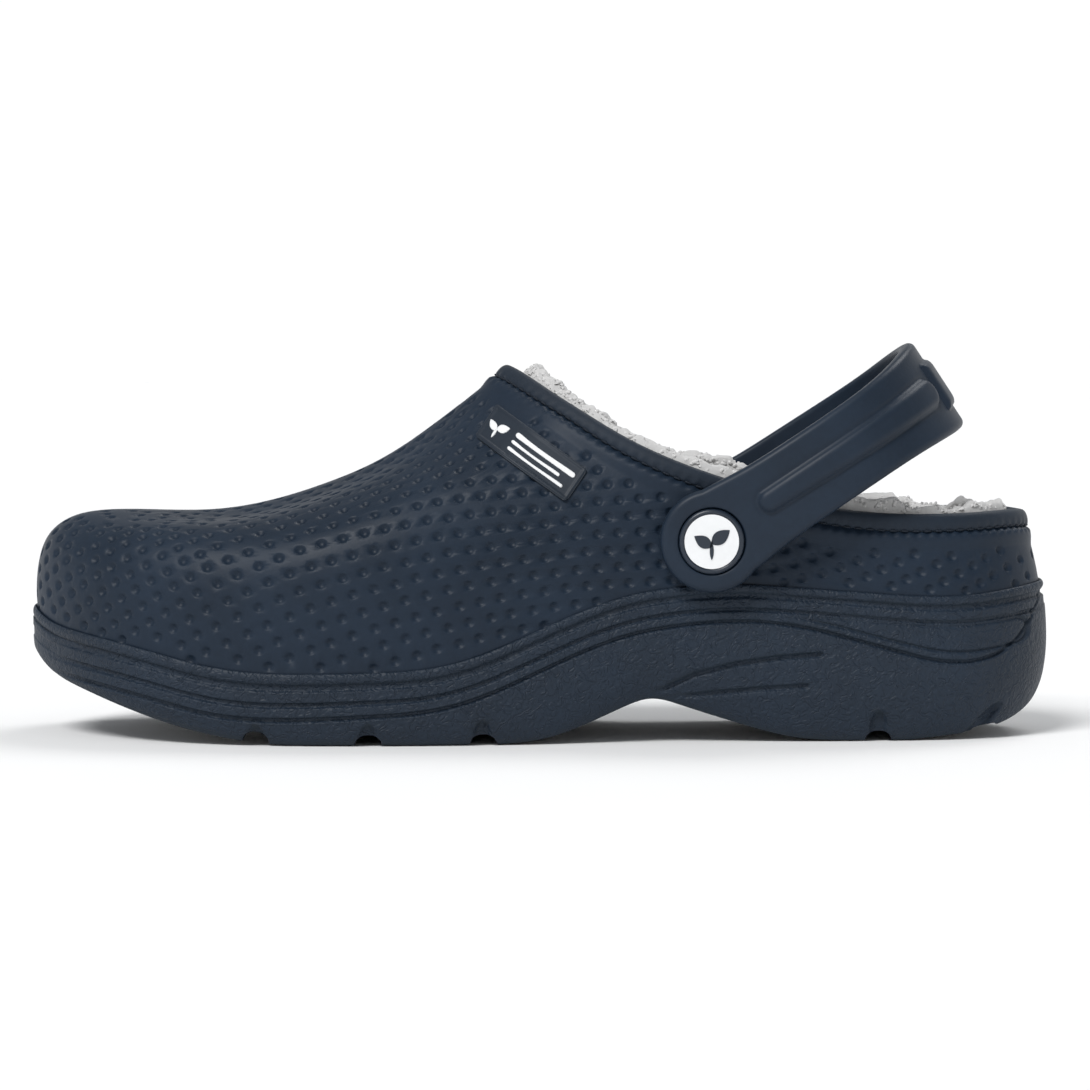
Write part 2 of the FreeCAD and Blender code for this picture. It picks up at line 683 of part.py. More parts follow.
def on_axis(radius, y0, y1):
    """A round piece on the strap's axis between two places across the foot."""
    low, high = min(y0, y1), max(y0, y1)
    return Part.makeCylinder(radius, high - low, Vec(PIVOT_X, low, PIVOT_Z), Vec(0, 1, 0))


def make_rivet(side):
    """Button with a hollow post, inner cap whose stud snaps into it, and the washer between."""
    sign = (-1, 1)[side]
    eye_inner, eye_outer = EYE_FACE[side], EYE_FACE[side] + sign * EYE_THICK
    boss_outer = eye_inner - sign * WASHER
    boss_inner = boss_outer - sign * BOSS_INNER
    head_back = eye_outer - sign * (HEAD_THICK - 0.4 - GAP)
    head = on_axis(HEAD_R, head_back, head_back + sign * HEAD_THICK)
    rim = [e for e in head.Edges if abs(e.CenterOfMass.y - (head_back + sign * HEAD_THICK)) < 0.01]
    head = head.makeFillet(0.7, rim[:1])
    post_end = boss_inner + sign * GAP
    button = head.fuse(on_axis(POST_R, head_back + sign * 1.0, post_end))
    button = button.cut(on_axis(STUD_R + 0.05, post_end - sign * 0.1, post_end + sign * 6))
    cap_face = boss_inner - sign * GAP
    cap = on_axis(CAP_R, cap_face, cap_face - sign * CAP_THICK)
    cap = cap.fuse(on_axis(STUD_R, cap_face, cap_face + sign * 5))
    washer = on_axis(BOSS_R - 1.6, boss_outer + sign * 0.05, eye_inner - sign * 0.05)
    washer = washer.cut(on_axis(HOLE_R, -70, 70))
    return button, cap, washer


# ---------------------------------------------------------------- all pieces
def make_pieces():
    pieces = {"sole_unit": make_sole(), "upper_shell": make_upper()}
    pieces["vamp_lining"], pieces["quarter_lining"] = make_lining()
    pieces["insole_foam"] = make_insole(GAP, FOAM)
    pieces["footbed_fleece"] = make_insole(FOAM + GAP, FOAM + PILE)
    pieces["collar_binding"] = make_binding()
    pieces["collar_stitching"] = make_stitching()
    pieces["side_label"] = make_label()
    pieces["heel_strap"] = make_strap()
    for side, name in enumerate(("outer", "inner")):
        button, cap, washer = make_rivet(side)
        pieces[f"rivet_button_{name}"] = button
        pieces[f"rivet_cap_{name}"] = cap
        pieces[f"strap_washer_{name}"] = washer
    return pieces


os.makedirs("parts", exist_ok=True)
for name, shape in make_pieces().items():
    shape.exportStep(f"parts/{name}.step")
    box = shape.BoundBox
    print(
        f"{name:20s} valid {shape.isValid()} solids {len(shape.Solids)} "
        f"volume {shape.Volume / 1000:8.3f} cm3  x {box.XMin:7.1f} {box.XMax:7.1f}  "
        f"y {box.YMin:6.1f} {box.YMax:6.1f}  z {box.ZMin:6.1f} {box.ZMax:6.1f}"
    )
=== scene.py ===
import math
import bmesh
import bpy
import numpy as np
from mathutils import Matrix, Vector
from mathutils.geometry import delaunay_2d_cdt
from mathutils.kdtree import KDTree


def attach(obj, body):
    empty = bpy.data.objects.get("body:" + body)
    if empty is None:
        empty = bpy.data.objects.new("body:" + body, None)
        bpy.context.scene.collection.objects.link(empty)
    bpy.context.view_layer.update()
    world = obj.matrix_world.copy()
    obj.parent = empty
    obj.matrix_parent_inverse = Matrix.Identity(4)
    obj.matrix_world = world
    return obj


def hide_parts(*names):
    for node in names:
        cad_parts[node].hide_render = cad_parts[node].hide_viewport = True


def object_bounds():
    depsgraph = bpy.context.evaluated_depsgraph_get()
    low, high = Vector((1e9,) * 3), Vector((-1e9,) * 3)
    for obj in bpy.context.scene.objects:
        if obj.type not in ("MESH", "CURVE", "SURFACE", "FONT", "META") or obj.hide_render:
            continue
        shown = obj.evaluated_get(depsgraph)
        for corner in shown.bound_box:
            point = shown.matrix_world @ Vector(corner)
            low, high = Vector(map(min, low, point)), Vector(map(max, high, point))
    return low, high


# The clog's looks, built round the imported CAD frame. Shapes are worked out in millimetres in the
# row frame (+X heel, -Y outer side, +Z up) and turned into metres where a mesh is made.

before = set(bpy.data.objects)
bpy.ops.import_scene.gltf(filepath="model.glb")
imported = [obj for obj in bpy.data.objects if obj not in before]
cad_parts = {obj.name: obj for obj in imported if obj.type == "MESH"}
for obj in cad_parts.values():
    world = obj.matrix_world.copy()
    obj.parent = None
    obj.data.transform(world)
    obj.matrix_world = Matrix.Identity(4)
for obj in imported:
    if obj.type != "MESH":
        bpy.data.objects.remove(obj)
CAD_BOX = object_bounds()
MM = 0.001

# ---------------------------------------------------------------- dimensions shared with the CAD
LIP, SHELL, BIND, LEDGE, GAP, LINING = 1.2, 3.0, 0.9, 2.2, 0.1, 3.6
FOAM, PILE = 4.6, 3.8
PIVOT_X, PIVOT_Z = 44.1, 52.2
STRAP_REST, STRAP_REACH, STRAP_THICK = 33.3, 73.4, 4.2
EYE_R, EYE_THICK, EYE_FACE = 13.3, 5.0, (-39.1, 34.0)
STRAP_MIDDLE = (EYE_FACE[0] + EYE_FACE[1]) / 2
EYE_HALF = (EYE_FACE[1] - EYE_FACE[0]) / 2
WASHER, BOSS_R, HEAD_R, HOLE_R, POST_R = 1.0, 9.6, 8.4, 3.45, 3.4
LABEL_CENTRE, LABEL_SIZE, LABEL_SLOPE = (-2.2, 74.2), (28.6, 10.0), math.radians(-35)
STITCHES, SEAM_DEPTH = 116, 4.7  # as many stitches as the CAD has
DIMPLE_FREE = 10.0  # depth below the collar where the dimples start
DIMPLE_R, DIMPLE_DEEP, DIMPLE_GAP = 1.38, 0.8, 4.1
SOLE_UNDER, TOE_UNDER, HEEL_BULGE = 4.5, 3.5, 1.2  # how far the sole's side turns in and bulges
FLUTE_DEEP, RIB_PITCH, RIB_HIGH, BORDER = 1.5, 6.2, 0.7, 3.6
CAVITY = SHELL + LIP + 1.2  # from the sole's edge in to the cup's wall
MOST_FACES = 190000

STATIONS = [
    (133.7, 1.0, 127.8, 0.5, 59.0, 0, 1), (129.5, -15.5, 124.3, -11.5, 59.4, 0, 1),
    (118.0, -27.0, 114.5, -22.0, 59.1, 0, 1), (98.0, -33.2, 97.5, -28.8, 58.8, 0, 1),
    (70.0, -35.8, 74.0, -31.6, 61.0, 0, 1), (40.0, -38.6, 50.0, -33.4, 67.6, 0, 0.9),
    (10.0, -42.8, 33.0, -32.0, 73.8, 0, 0.45), (-20.0, -47.2, 21.0, -28.2, 79.6, 0, 0.1),
    (-50.0, -49.0, 12.0, -23.5, 85.0, 0, 0), (-80.0, -46.2, 5.0, -18.0, 89.3, 0.25, 0),
    (-106.0, -37.0, -1.0, -12.0, 93.2, 0.6, 0), (-125.0, -21.0, -6.0, -5.5, 96.2, 0.9, 0),
    (-135.3, 3.0, -8.0, 0.5, 97.1, 1, 0), (-129.0, 24.5, -6.3, 6.5, 96.2, 0.9, 0),
    (-112.0, 39.5, -1.5, 12.2, 93.3, 0.6, 0), (-88.0, 47.5, 4.5, 17.3, 89.5, 0.25, 0),
    (-60.0, 49.0, 11.5, 21.8, 85.2, 0, 0), (-30.0, 44.6, 20.5, 25.3, 79.8, 0, 0.1),
    (0.0, 37.6, 33.0, 27.6, 73.8, 0, 0.45), (30.0, 33.4, 48.0, 28.8, 68.4, 0, 0.9),
    (60.0, 32.6, 67.0, 29.2, 62.6, 0, 1), (90.0, 33.4, 91.0, 28.9, 59.0, 0, 1),
    (114.0, 29.5, 111.5, 23.8, 59.0, 0, 1), (128.0, 17.5, 122.8, 13.3, 59.3, 0, 1),
]
RISE_V = [0, 0.06, 0.12, 0.18, 0.24, 0.30, 0.38, 0.47, 0.56, 0.65, 0.74, 0.82, 0.90, 1]
TOE_RUN = [0, -0.002, 0.001, 0.012, 0.035, 0.075, 0.15, 0.26, 0.375, 0.49, 0.61, 0.73, 0.85, 1]
TOE_RISE = [0, 0.075, 0.165, 0.255, 0.325, 0.375, 0.402, 0.402, 0.404, 0.44, 0.512, 0.615, 0.772, 1]
SIDE_RUN = [0, -0.004, -0.006, -0.002, 0.01, 0.03, 0.075, 0.15, 0.25, 0.37, 0.51, 0.65, 0.80, 1]
SIDE_RISE = [0, 0.07, 0.145, 0.22, 0.29, 0.355, 0.435, 0.515, 0.59, 0.665, 0.74, 0.81, 0.89, 1]
SOLE_LINE = [
    (-136, 33.6), (-131, 30.6), (-121, 27.8), (-100, 23.5), (-89.6, 21.0), (-74.5, 18.8),
    (-61, 18.4), (-45.7, 18.7), (-28, 19.9), (-16.7, 22.6), (-4.9, 27.3), (11.8, 34.5),
    (23.7, 38.3), (35.6, 40.2), (53.4, 40.9), (65, 40.1), (83, 38.7), (97, 37.7), (110.7, 37.6),
    (122, 38.8), (134.5, 40.4),
]
TREAD_TOE = [(-136, 24), (-131.8, 19.4), (-127.8, 16.2), (-121, 13.2), (-109, 9.0), (-92.5, 4.0),
             (-76.8, 1.0), (-66, 0)]
TREAD_ARCH = [(-12, 0), (0, 1.0), (10.3, 4.2), (20.6, 8.7), (29.0, 11.2), (36.1, 9.6),
              (46.4, 6.2), (56.8, 3.0), (67.2, 0.7), (76, 0)]
TREAD_HEEL = [(96, 0), (109, 1.3), (120, 3.4), (127, 6.6), (131.5, 11), (136, 20)]
CUP_FLOOR = [(-140, 24), (-128, 20), (-121, 17.8), (-110, 14.6), (-100, 12.4), (-87, 10.4),
             (-70, 9.2), (-50, 9.0), (-25, 10.2), (0, 13.2), (22, 17.6), (40, 18.6), (60, 17.6),
             (90, 16.5), (120, 17), (140, 18)]
TREAD_GROOVES = [(-73.0, 2.8, 5.8), (-44.0, 2.6, 6.2), (-14.5, 2.6, 7.0), (88.0, 2.4, 8.4),
                 (116.0, 1.0, 10.0)]  # middle, depth, height of the flute up the side
# How deep the ridge below the second groove dips, and how the whole relief is scaled along the foot.
RIDGE_DIP = [(-140, 0), (20, 0), (58, 0), (72, 1.2), (88, 4.0), (103, 6.8), (113, 7.2), (121, 5.6),
             (127, 1.2), (132, -8), (140, -12)]
LEAF_DIP = [(-140, 0), (50, 0), (60, 0.3), (75, 2.0), (90, 4.6), (104, 7.0), (113, 7.4), (121, 7.0),
            (140, 6.0)]
RELIEF_SCALE = [(-140, 1.1), (-83, 1.1), (-40, 1.0), (0, 0.95), (67, 0.83), (110, 0.9), (140, 0.9)]


def spline(knots, values, period=None):
    """The cubic spline through values at knots, closed if a period is given. Works on arrays."""
    x, y = np.array(knots, float), np.array(values, float)
    if period:
        x, y = np.append(x, x[0] + period), np.append(y, y[0])
    n = len(x) - 1
    step = np.diff(x)
    slope = np.diff(y) / step
    size = n if period else n + 1
    rows, right = np.zeros((size, size)), np.zeros(size)
    for i in range(size):
        if not period and i in (0, n):
            rows[i, i] = 1
            continue
        rows[i, (i - 1) % size] += step[i - 1]
        rows[i, i] += 2 * (step[i - 1] + step[i])
        rows[i, (i + 1) % size] += step[i]
        right[i] = 6 * (slope[i] - slope[i - 1])
    bend = np.linalg.solve(rows, right)
    if period:
        bend = np.append(bend, bend[0])

    def value(t):
        t = np.asarray(t, float)
        if period:
            t = (t - x[0]) % period + x[0]
        i = np.clip(np.searchsorted(x, t, "right") - 1, 0, n - 1)
        h, a, b = step[i], t - x[i], x[i + 1] - t
        return ((bend[i] * b**3 + bend[i + 1] * a**3) / (6 * h)
                + (y[i] / h - bend[i] * h / 6) * b + (y[i + 1] / h - bend[i + 1] * h / 6) * a)

    return value


def graph(points):
    return spline([p[0] for p in points], [p[1] for p in points])


sole_line, cup_floor = graph(SOLE_LINE), graph(CUP_FLOOR)
tread_toe, tread_arch, tread_heel = graph(TREAD_TOE), graph(TREAD_ARCH), graph(TREAD_HEEL)
toe_run, toe_rise = spline(RISE_V, TOE_RUN), spline(RISE_V, TOE_RISE)
side_run, side_rise = spline(RISE_V, SIDE_RUN), spline(RISE_V, SIDE_RISE)


def table(points):
    """A straight-line table, smoothed a little, that works on arrays."""
    xs, ys = [p[0] for p in points], [p[1] for p in points]

    def value(x):
        return sum(np.interp(x + d, xs, ys) for d in (-3, -1, 1, 3)) / 4

    return value


ridge_dip, relief_scale, leaf_dip = table(RIDGE_DIP), table(RELIEF_SCALE), table(LEAF_DIP)


def tread(x):
    """Height of the tread at x."""
    z = np.where(x < -66, tread_toe(np.maximum(x, -136.0)), 0.0)
    z = np.where((x > -12) & (x < 76), tread_arch(x), z)
    return np.where(x > 96, tread_heel(np.minimum(x, 136.0)), z)


ALONG = np.concatenate([[0], np.cumsum([
    math.hypot(STATIONS[(i + 1) % len(STATIONS)][0] - a[0], STATIONS[(i + 1) % len(STATIONS)][1] - a[1])
    for i, a in enumerate(STATIONS)])])
PERIMETER = ALONG[-1]
COLUMNS = [spline(ALONG[:-1], column, PERIMETER) for column in zip(*STATIONS)]


def edge_of_sole(u, inset=0.0):
    """x and y on the sole's edge, moved inwards. u runs 0 to 1 round the foot from the heel."""
    s = u * PERIMETER
    x, y = COLUMNS[0](s), COLUMNS[1](s)
    dx = COLUMNS[0](s + 0.5) - COLUMNS[0](s - 0.5)
    dy = COLUMNS[1](s + 0.5) - COLUMNS[1](s - 0.5)
    size = np.hypot(dx, dy)
    return x + inset * dy / size, y - inset * dx / size


def wall_point(u, v):
    """Points on the outside of the upper: v is 0 at the sole line and 1 at the collar."""
    u, v = np.broadcast_arrays(np.asarray(u, float), np.asarray(v, float))
    s = u * PERIMETER
    x, y = edge_of_sole(u, LIP)
    z = sole_line(x)
    toe, quarter = COLUMNS[5](s), COLUMNS[6](s)
    side = 1 - toe - quarter
    vc = np.clip(v, 0, None)
    run = toe * toe_run(v) + side * side_run(v) + quarter * vc**1.2
    rise = toe * toe_rise(v) + side * side_rise(v) + quarter * v
    return np.stack([x + run * (COLUMNS[2](s) - x), y + run * (COLUMNS[3](s) - y),
                     z + rise * (COLUMNS[4](s) - z)], -1)


def unit(a):
    return a / np.maximum(np.linalg.norm(a, axis=-1, keepdims=True), 1e-9)


def wall(u, v, out=0.0):
    """Points on the upper's outside, moved out along the normal. Past v = 1 it goes straight on."""
    u, v, out = np.broadcast_arrays(np.asarray(u, float), np.asarray(v, float), np.asarray(out, float))
    inside = np.minimum(v, 1)
    point = wall_point(u, inside)
    low = np.minimum(inside, 0.99)
    up = wall_point(u, low + 0.01) - wall_point(u, low)
    top_way = (wall_point(u, 1.0) - wall_point(u, 0.98)) / 0.02
    point = point + top_way * np.maximum(v - 1, 0)[..., None]
    forward = wall_point(u + 0.002, inside) - wall_point(u - 0.002, inside)
    return point + unit(np.cross(up, forward)) * out[..., None]


V_STEPS = np.linspace(0, 1, 241)


def depth_table(u):
    """Arc length down from the collar, for each column u and each of V_STEPS."""
    points = wall_point(u[:, None], V_STEPS[None, :])
    lengths = np.linalg.norm(np.diff(points, axis=1), axis=-1)
    down = np.concatenate([np.cumsum(lengths[:, ::-1], axis=1)[:, ::-1], np.zeros((len(u), 1))], 1)
    return down


def v_at_depth(u, depth):
    """v at an arc depth below the collar, one depth per column or one for all."""
    down = depth_table(u)
    depth = np.broadcast_to(np.asarray(depth, float), u.shape)
    rate = np.linalg.norm(wall_point(u, 1.0) - wall_point(u, 0.98), axis=-1) / 0.02
    found = np.array([np.interp(-d, -row, V_STEPS) for d, row in zip(np.maximum(depth, 0), down)])
    return np.where(depth < 0, 1 - depth / rate, found)


def noise3(p, size, seed=0):
    """Smooth noise from -1 to 1 at points in millimetres, with features about size wide."""
    q = p / size + seed * 7.31
    cell = np.floor(q).astype(np.int64)
    t = q - cell
    t = t * t * (3 - 2 * t)
    total = np.zeros(p.shape[:-1])
    for corner in range(8):
        bits = np.array([corner & 1, corner >> 1 & 1, corner >> 2 & 1])
        c = cell + bits
        h = (c[..., 0] * 73856093) ^ (c[..., 1] * 19349663) ^ (c[..., 2] * 83492791)
        h = (h * 2654435761 + seed * 97) & 0xFFFFFF
        h = ((h ^ (h >> 11)) * 40503) & 0xFFFFFF
        w = np.prod(np.where(bits, t, 1 - t), axis=-1)
        total += w * (h / 0x7FFFFF - 1)
    return total


def dome(x, r):
    """A quarter round: 0 at x = 0, 1 from x = r on."""
    return np.sqrt(np.clip(1 - (1 - np.clip(x / r, 0, 1)) ** 2, 0, 1))


def step(x, a, b):
    """0 before a, 1 after b, smooth between."""
    t = np.clip((x - a) / (b - a), 0, 1)
    return t * t * (3 - 2 * t)


# ---------------------------------------------------------------- meshes
def build(name, points, faces, material, body, replaces=(), smooth=True):
    """A piece from points in millimetres and lists of faces, riding on a body."""
    groups = [np.asarray(f, np.int64) for f in (faces if isinstance(faces, list) else [faces])]
    groups = [f for f in groups if len(f)]
    mesh = bpy.data.meshes.new(name)
    points = np.asarray(points, float).reshape(-1, 3) * MM
    mesh.vertices.add(len(points))
    mesh.vertices.foreach_set("co", points.astype(np.float32).ravel())
    loops = np.concatenate([f.ravel() for f in groups]).astype(np.int32)
    counts = np.concatenate([np.full(len(f), f.shape[1]) for f in groups])
    mesh.loops.add(len(loops))
    mesh.loops.foreach_set("vertex_index", loops)
    mesh.polygons.add(len(counts))
    starts = np.concatenate([[0], np.cumsum(counts)[:-1]]).astype(np.int32)
    mesh.polygons.foreach_set("loop_start", starts)
    mesh.update(calc_edges=True)
    mesh.validate()
    if smooth:
        mesh.shade_smooth()
    piece = bpy.data.objects.new(name, mesh)
    bpy.context.scene.collection.objects.link(piece)
    for m in material if isinstance(material, list) else [material]:
        mesh.materials.append(m)
    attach(piece, body)
    if replaces:
        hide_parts(*replaces)
    return piece


def grid_quads(rows, columns, wrap=True, start=0, flip=False):
    """Quads of a grid of rows by columns of vertices, closed across the columns if wrap."""
    c = np.arange(columns if wrap else columns - 1)
    r = np.arange(rows - 1)[:, None]
    n = (c + 1) % columns
    quads = np.stack([r * columns + c, r * columns + n, (r + 1) * columns + n, (r + 1) * columns + c], -1)
    quads = quads.reshape(-1, 4) + start
    return quads[:, ::-1] if flip else quads


def ring(sections):
    """A closed tube round the foot: sections is a list of rings of points, joined last to first."""
    points = np.stack(sections)
    rows, columns = points.shape[:2]
    quads = grid_quads(rows, columns)
    last = np.arange(columns)
    n = (last + 1) % columns
    top = (rows - 1) * columns
    closing = np.stack([top + last, top + n, n, last], -1)
    return points.reshape(-1, 3), np.concatenate([quads, closing])


def decimate(piece, faces):
    """Thins a mesh to about that many triangles, keeping the dense mesh's normals."""
    mesh = piece.data
    count = sum(len(p.vertices) - 2 for p in mesh.polygons)
    if count <= faces:
        return
    dense = np.zeros(len(mesh.vertices) * 3, np.float32)
    mesh.vertices.foreach_get("co", dense)
    normal = np.zeros(len(mesh.vertices) * 3, np.float32)
    mesh.vertex_normals.foreach_get("vector", normal)
    dense, normal = dense.reshape(-1, 3), normal.reshape(-1, 3)
    tree = KDTree(len(dense))
    for i, p in enumerate(dense):
        tree.insert(p, i)
    tree.balance()
    m = piece.modifiers.new("thin", "DECIMATE")
    m.ratio = faces / count
    dg = bpy.context.evaluated_depsgraph_get()
    thin = bpy.data.meshes.new_from_object(piece.evaluated_get(dg))
    piece.modifiers.clear()
    piece.data = thin
    thin.shade_smooth()
    found = [normal[tree.find(v.co)[1]] for v in thin.vertices]
    thin.normals_split_custom_set_from_vertices([tuple(float(c) for c in f) for f in found])


# ---------------------------------------------------------------- materials
def material(name, colour, roughness=0.6, grain=(), vary=0.15, rough_vary=0.12, sheen=0.0, gloss=0.3):
    """A procedural finish. grain rows are (kind, size in mm, bump height in mm, strength)."""
    m = bpy.data.materials.new(name)
    m.use_nodes = True
    nodes, links = m.node_tree.nodes, m.node_tree.links
    shader = nodes["Principled BSDF"]
    place = nodes.new("ShaderNodeTexCoord").outputs["Object"]

    def texture(kind, size, **inputs):
        node = nodes.new(kind)
        links.new(place, node.inputs["Vector"])
        node.inputs["Scale"].default_value = 1 / (size * MM)
        for key, value in inputs.items():
            node.inputs[key].default_value = value
        return node

    mottle = texture("ShaderNodeTexNoise", 22, Detail=4.0)
    speck = texture("ShaderNodeTexNoise", 1.6, Detail=2.0)
    both = nodes.new("ShaderNodeMath")
    both.operation = "MULTIPLY_ADD"
    both.inputs[1].default_value = 0.35
    links.new(speck.outputs["Fac"], both.inputs[0])
    links.new(mottle.outputs["Fac"], both.inputs[2])
    ramp = nodes.new("ShaderNodeValToRGB")
    dark = [c * (1 - vary) for c in colour]
    light = [min(1, c * (1 + vary)) for c in colour]
    ramp.color_ramp.elements[0].position = 0.45
    ramp.color_ramp.elements[0].color = (*dark, 1)
    ramp.color_ramp.elements[1].position = 0.9
    ramp.color_ramp.elements[1].color = (*light, 1)
    links.new(both.outputs[0], ramp.inputs[0])
    links.new(ramp.outputs[0], shader.inputs["Base Color"])
    rough = nodes.new("ShaderNodeMapRange")
    rough.inputs["To Min"].default_value = max(0, roughness - rough_vary)
    rough.inputs["To Max"].default_value = min(1, roughness + rough_vary)
    links.new(mottle.outputs["Fac"], rough.inputs["Value"])
    links.new(rough.outputs[0], shader.inputs["Roughness"])
    shader.inputs["Specular IOR Level"].default_value = gloss
    shader.inputs["Sheen Weight"].default_value = sheen
    shader.inputs["Sheen Roughness"].default_value = 0.5
    normal = None
    for kind, size, height, strength in grain:
        if kind == "noise":
            value = texture("ShaderNodeTexNoise", size, Detail=3.0).outputs["Fac"]
        elif kind == "worm":
            lines = texture("ShaderNodeTexNoise", size, Detail=1.0, Distortion=1.2)
            ridge = nodes.new("ShaderNodeMath")
            ridge.operation = "SUBTRACT"
            ridge.inputs[1].default_value = 0.5
            links.new(lines.outputs["Fac"], ridge.inputs[0])
            flat = nodes.new("ShaderNodeMath")
            flat.operation = "ABSOLUTE"
            links.new(ridge.outputs[0], flat.inputs[0])
            span = nodes.new("ShaderNodeMapRange")
            span.interpolation_type = "SMOOTHSTEP"
            span.inputs["From Max"].default_value = 0.15
            links.new(flat.outputs[0], span.inputs["Value"])
            value = span.outputs[0]
        else:
            cells = texture("ShaderNodeTexVoronoi", size, Randomness=1.0)
            value = cells.outputs["Distance"]
        bump = nodes.new("ShaderNodeBump")
        bump.inputs["Distance"].default_value = height * MM
        bump.inputs["Strength"].default_value = strength
        links.new(value, bump.inputs["Height"])
        if normal is not None:
            links.new(normal, bump.inputs["Normal"])
        normal = bump.outputs[0]
    if normal is not None:
        links.new(normal, shader.inputs["Normal"])
    return m


NAVY = (0.0105, 0.0195, 0.0345)
upper_look = material("upper_eva", NAVY, 0.48,
                      [("noise", 0.9, 0.05, 0.5), ("cells", 0.45, 0.03, 0.35)], gloss=0.2)
sole_look = material("sole_eva", (0.0110, 0.0200, 0.0345), 0.52,
                     [("worm", 2.6, 0.22, 0.8), ("noise", 1.5, 0.30, 0.8), ("noise", 0.6, 0.05, 0.5)],
                     gloss=0.28)
tread_look = material("sole_tread", (0.013, 0.022, 0.034), 0.68, [("noise", 1.2, 0.1, 0.5)])
strap_look = material("strap_eva", NAVY, 0.46,
                      [("noise", 0.7, 0.04, 0.5), ("noise", 2.4, 0.10, 0.4)], gloss=0.24)
rivet_look = material("rivet", (0.010, 0.018, 0.032), 0.36, [("noise", 0.6, 0.02, 0.4)], gloss=0.5)
washer_look = material("washer", (0.012, 0.020, 0.032), 0.5, [("noise", 0.8, 0.03, 0.4)])
binding_look = material("binding_cloth", (0.0085, 0.016, 0.028), 0.6,
                        [("noise", 2.6, 0.16, 0.5), ("cells", 0.35, 0.05, 0.5)], sheen=0.04, gloss=0.25)
thread_look = material("thread", (0.008, 0.013, 0.022), 0.7, [("cells", 0.25, 0.06, 0.8)])
label_look = material("label_rubber", (0.011, 0.018, 0.029), 0.5, [("noise", 0.8, 0.04, 0.5)])
white_look = material("white_print", (0.80, 0.81, 0.82), 0.5, [("noise", 0.6, 0.02, 0.4)], vary=0.03)
fleece_look = material("fleece", (0.56, 0.555, 0.55), 0.95,
                       [("noise", 1.7, 0.35, 0.6), ("noise", 0.6, 0.12, 0.6)], vary=0.08, sheen=0.2,
                       gloss=0.05)
fibre_look = material("fleece_fibre", (0.64, 0.635, 0.63), 0.95, vary=0.05, sheen=0.2, gloss=0.05)
foam_look = material("insole_foam", (0.09, 0.11, 0.14), 0.85, [("cells", 0.9, 0.2, 0.7)])


# ---------------------------------------------------------------- the upper
def lattice(height):
    """Centres of the dimples along and up the outer side's chart, in millimetres."""
    a = np.linspace(-170, 140, 1241)
    lean = np.interp(a, [-170, -100, -60, -20, 20, 60, 95, 140], [24, 26, 22, 14, 3, 8, 27, 27])
    slope = np.tan(np.radians(lean))
    rise = np.concatenate([[0], np.cumsum(slope[:-1] * np.diff(a))])
    rise -= np.interp(-45, a, rise)
    pitch = np.interp(a, [-170, -60, 20, 60, 100, 140], [5.2, 5.4, 5.5, 5.2, 3.9, 3.9])
    count = np.concatenate([[0], np.cumsum(np.diff(a) / pitch[:-1])])
    gap = np.interp(a, [-170, -60, 0, 60, 100, 140], [5.4, 5.4, 4.4, 4.3, 5.6, 5.6])
    rows = []
    for k in range(-30, 60):
        shift = 0.5 * (k % 2)
        at = np.arange(math.ceil(count[0]), int(count[-1])) + shift
        along = np.interp(at, count, a)
        base = np.interp(along, a, rise) + 19 + k * np.interp(along, a, gap)
        keep = (base > -5) & (base < height)
        rows.append(np.stack([along[keep], base[keep]], -1))
    return np.concatenate(rows)


def dimple_centres(u, points, depth):
    """Places of the dimples on the upper, from a chart of each side, none closer than DIMPLE_GAP."""
    tip = int(np.argmin(points[0, :, 0]))
    columns = len(u)
    found = []
    for side in (0, 1):
        cols = np.arange(0, tip + 1) if side == 0 else np.arange(columns, tip - 1, -1) % columns
        p = points[:, cols]
        centre = -85.0
        angle = np.arctan2(np.maximum(centre - p[..., 0], 0), np.maximum(np.abs(p[..., 1]), 1e-6))
        w = np.where(p[..., 0] >= centre, p[..., 0], centre - 50 * angle)
        w = np.minimum.accumulate(w, axis=1)
        stations = np.linspace(-163, 133, 500)
        at = np.stack([
            np.stack([np.interp(-stations, -w[r], p[r, :, k]) for k in range(3)], -1)
            for r in range(len(p))
        ])
        s = np.concatenate([np.zeros((1, len(stations))),
                            np.cumsum(np.linalg.norm(np.diff(at, axis=0), axis=-1), axis=0)])
        base = at[0, :, 2]
        chart = np.stack([w, np.stack([
            np.interp(w[r], stations, s[r] + base) for r in range(len(p))])], -1)
        low = np.interp(w, stations, base)
        tree = KDTree(chart.shape[0] * chart.shape[1])
        flat = chart.reshape(-1, 2)
        for i in range(len(flat)):
            tree.insert((flat[i, 0], flat[i, 1], 0), i)
        tree.balance()
        flat_p, flat_d = p.reshape(-1, 3), depth[:, cols].ravel()
        flat_low = (chart[..., 1] - low).ravel()
        for a, b in lattice(260):
            _, i, off = tree.find((a, b, 0))
            if off > 1.2 or flat_d[i] < DIMPLE_FREE or flat_low[i] < 0.4:
                continue
            if math.hypot(flat_p[i, 0] - PIVOT_X, flat_p[i, 2] - PIVOT_Z) < BOSS_R + 1.8:
                continue
            found.append(flat_p[i])
    kept = []
    cells = {}
    for c in found:
        key = tuple(int(q // 4.3) for q in c)
        near = [o for dx in (-1, 0, 1) for dy in (-1, 0, 1) for dz in (-1, 0, 1)
                for o in cells.get((key[0] + dx, key[1] + dy, key[2] + dz), ())]
        if all(np.linalg.norm(c - o) >= DIMPLE_GAP for o in near):
            cells.setdefault(key, []).append(c)
            kept.append(c)
    return np.array(kept)


def seam_lengths(u):
    """Arc length along the seam under the collar at each column."""
    p = wall(u, v_at_depth(u, SEAM_DEPTH))
    return np.concatenate([[0], np.cumsum(np.linalg.norm(np.diff(p, axis=0), axis=-1))]), p


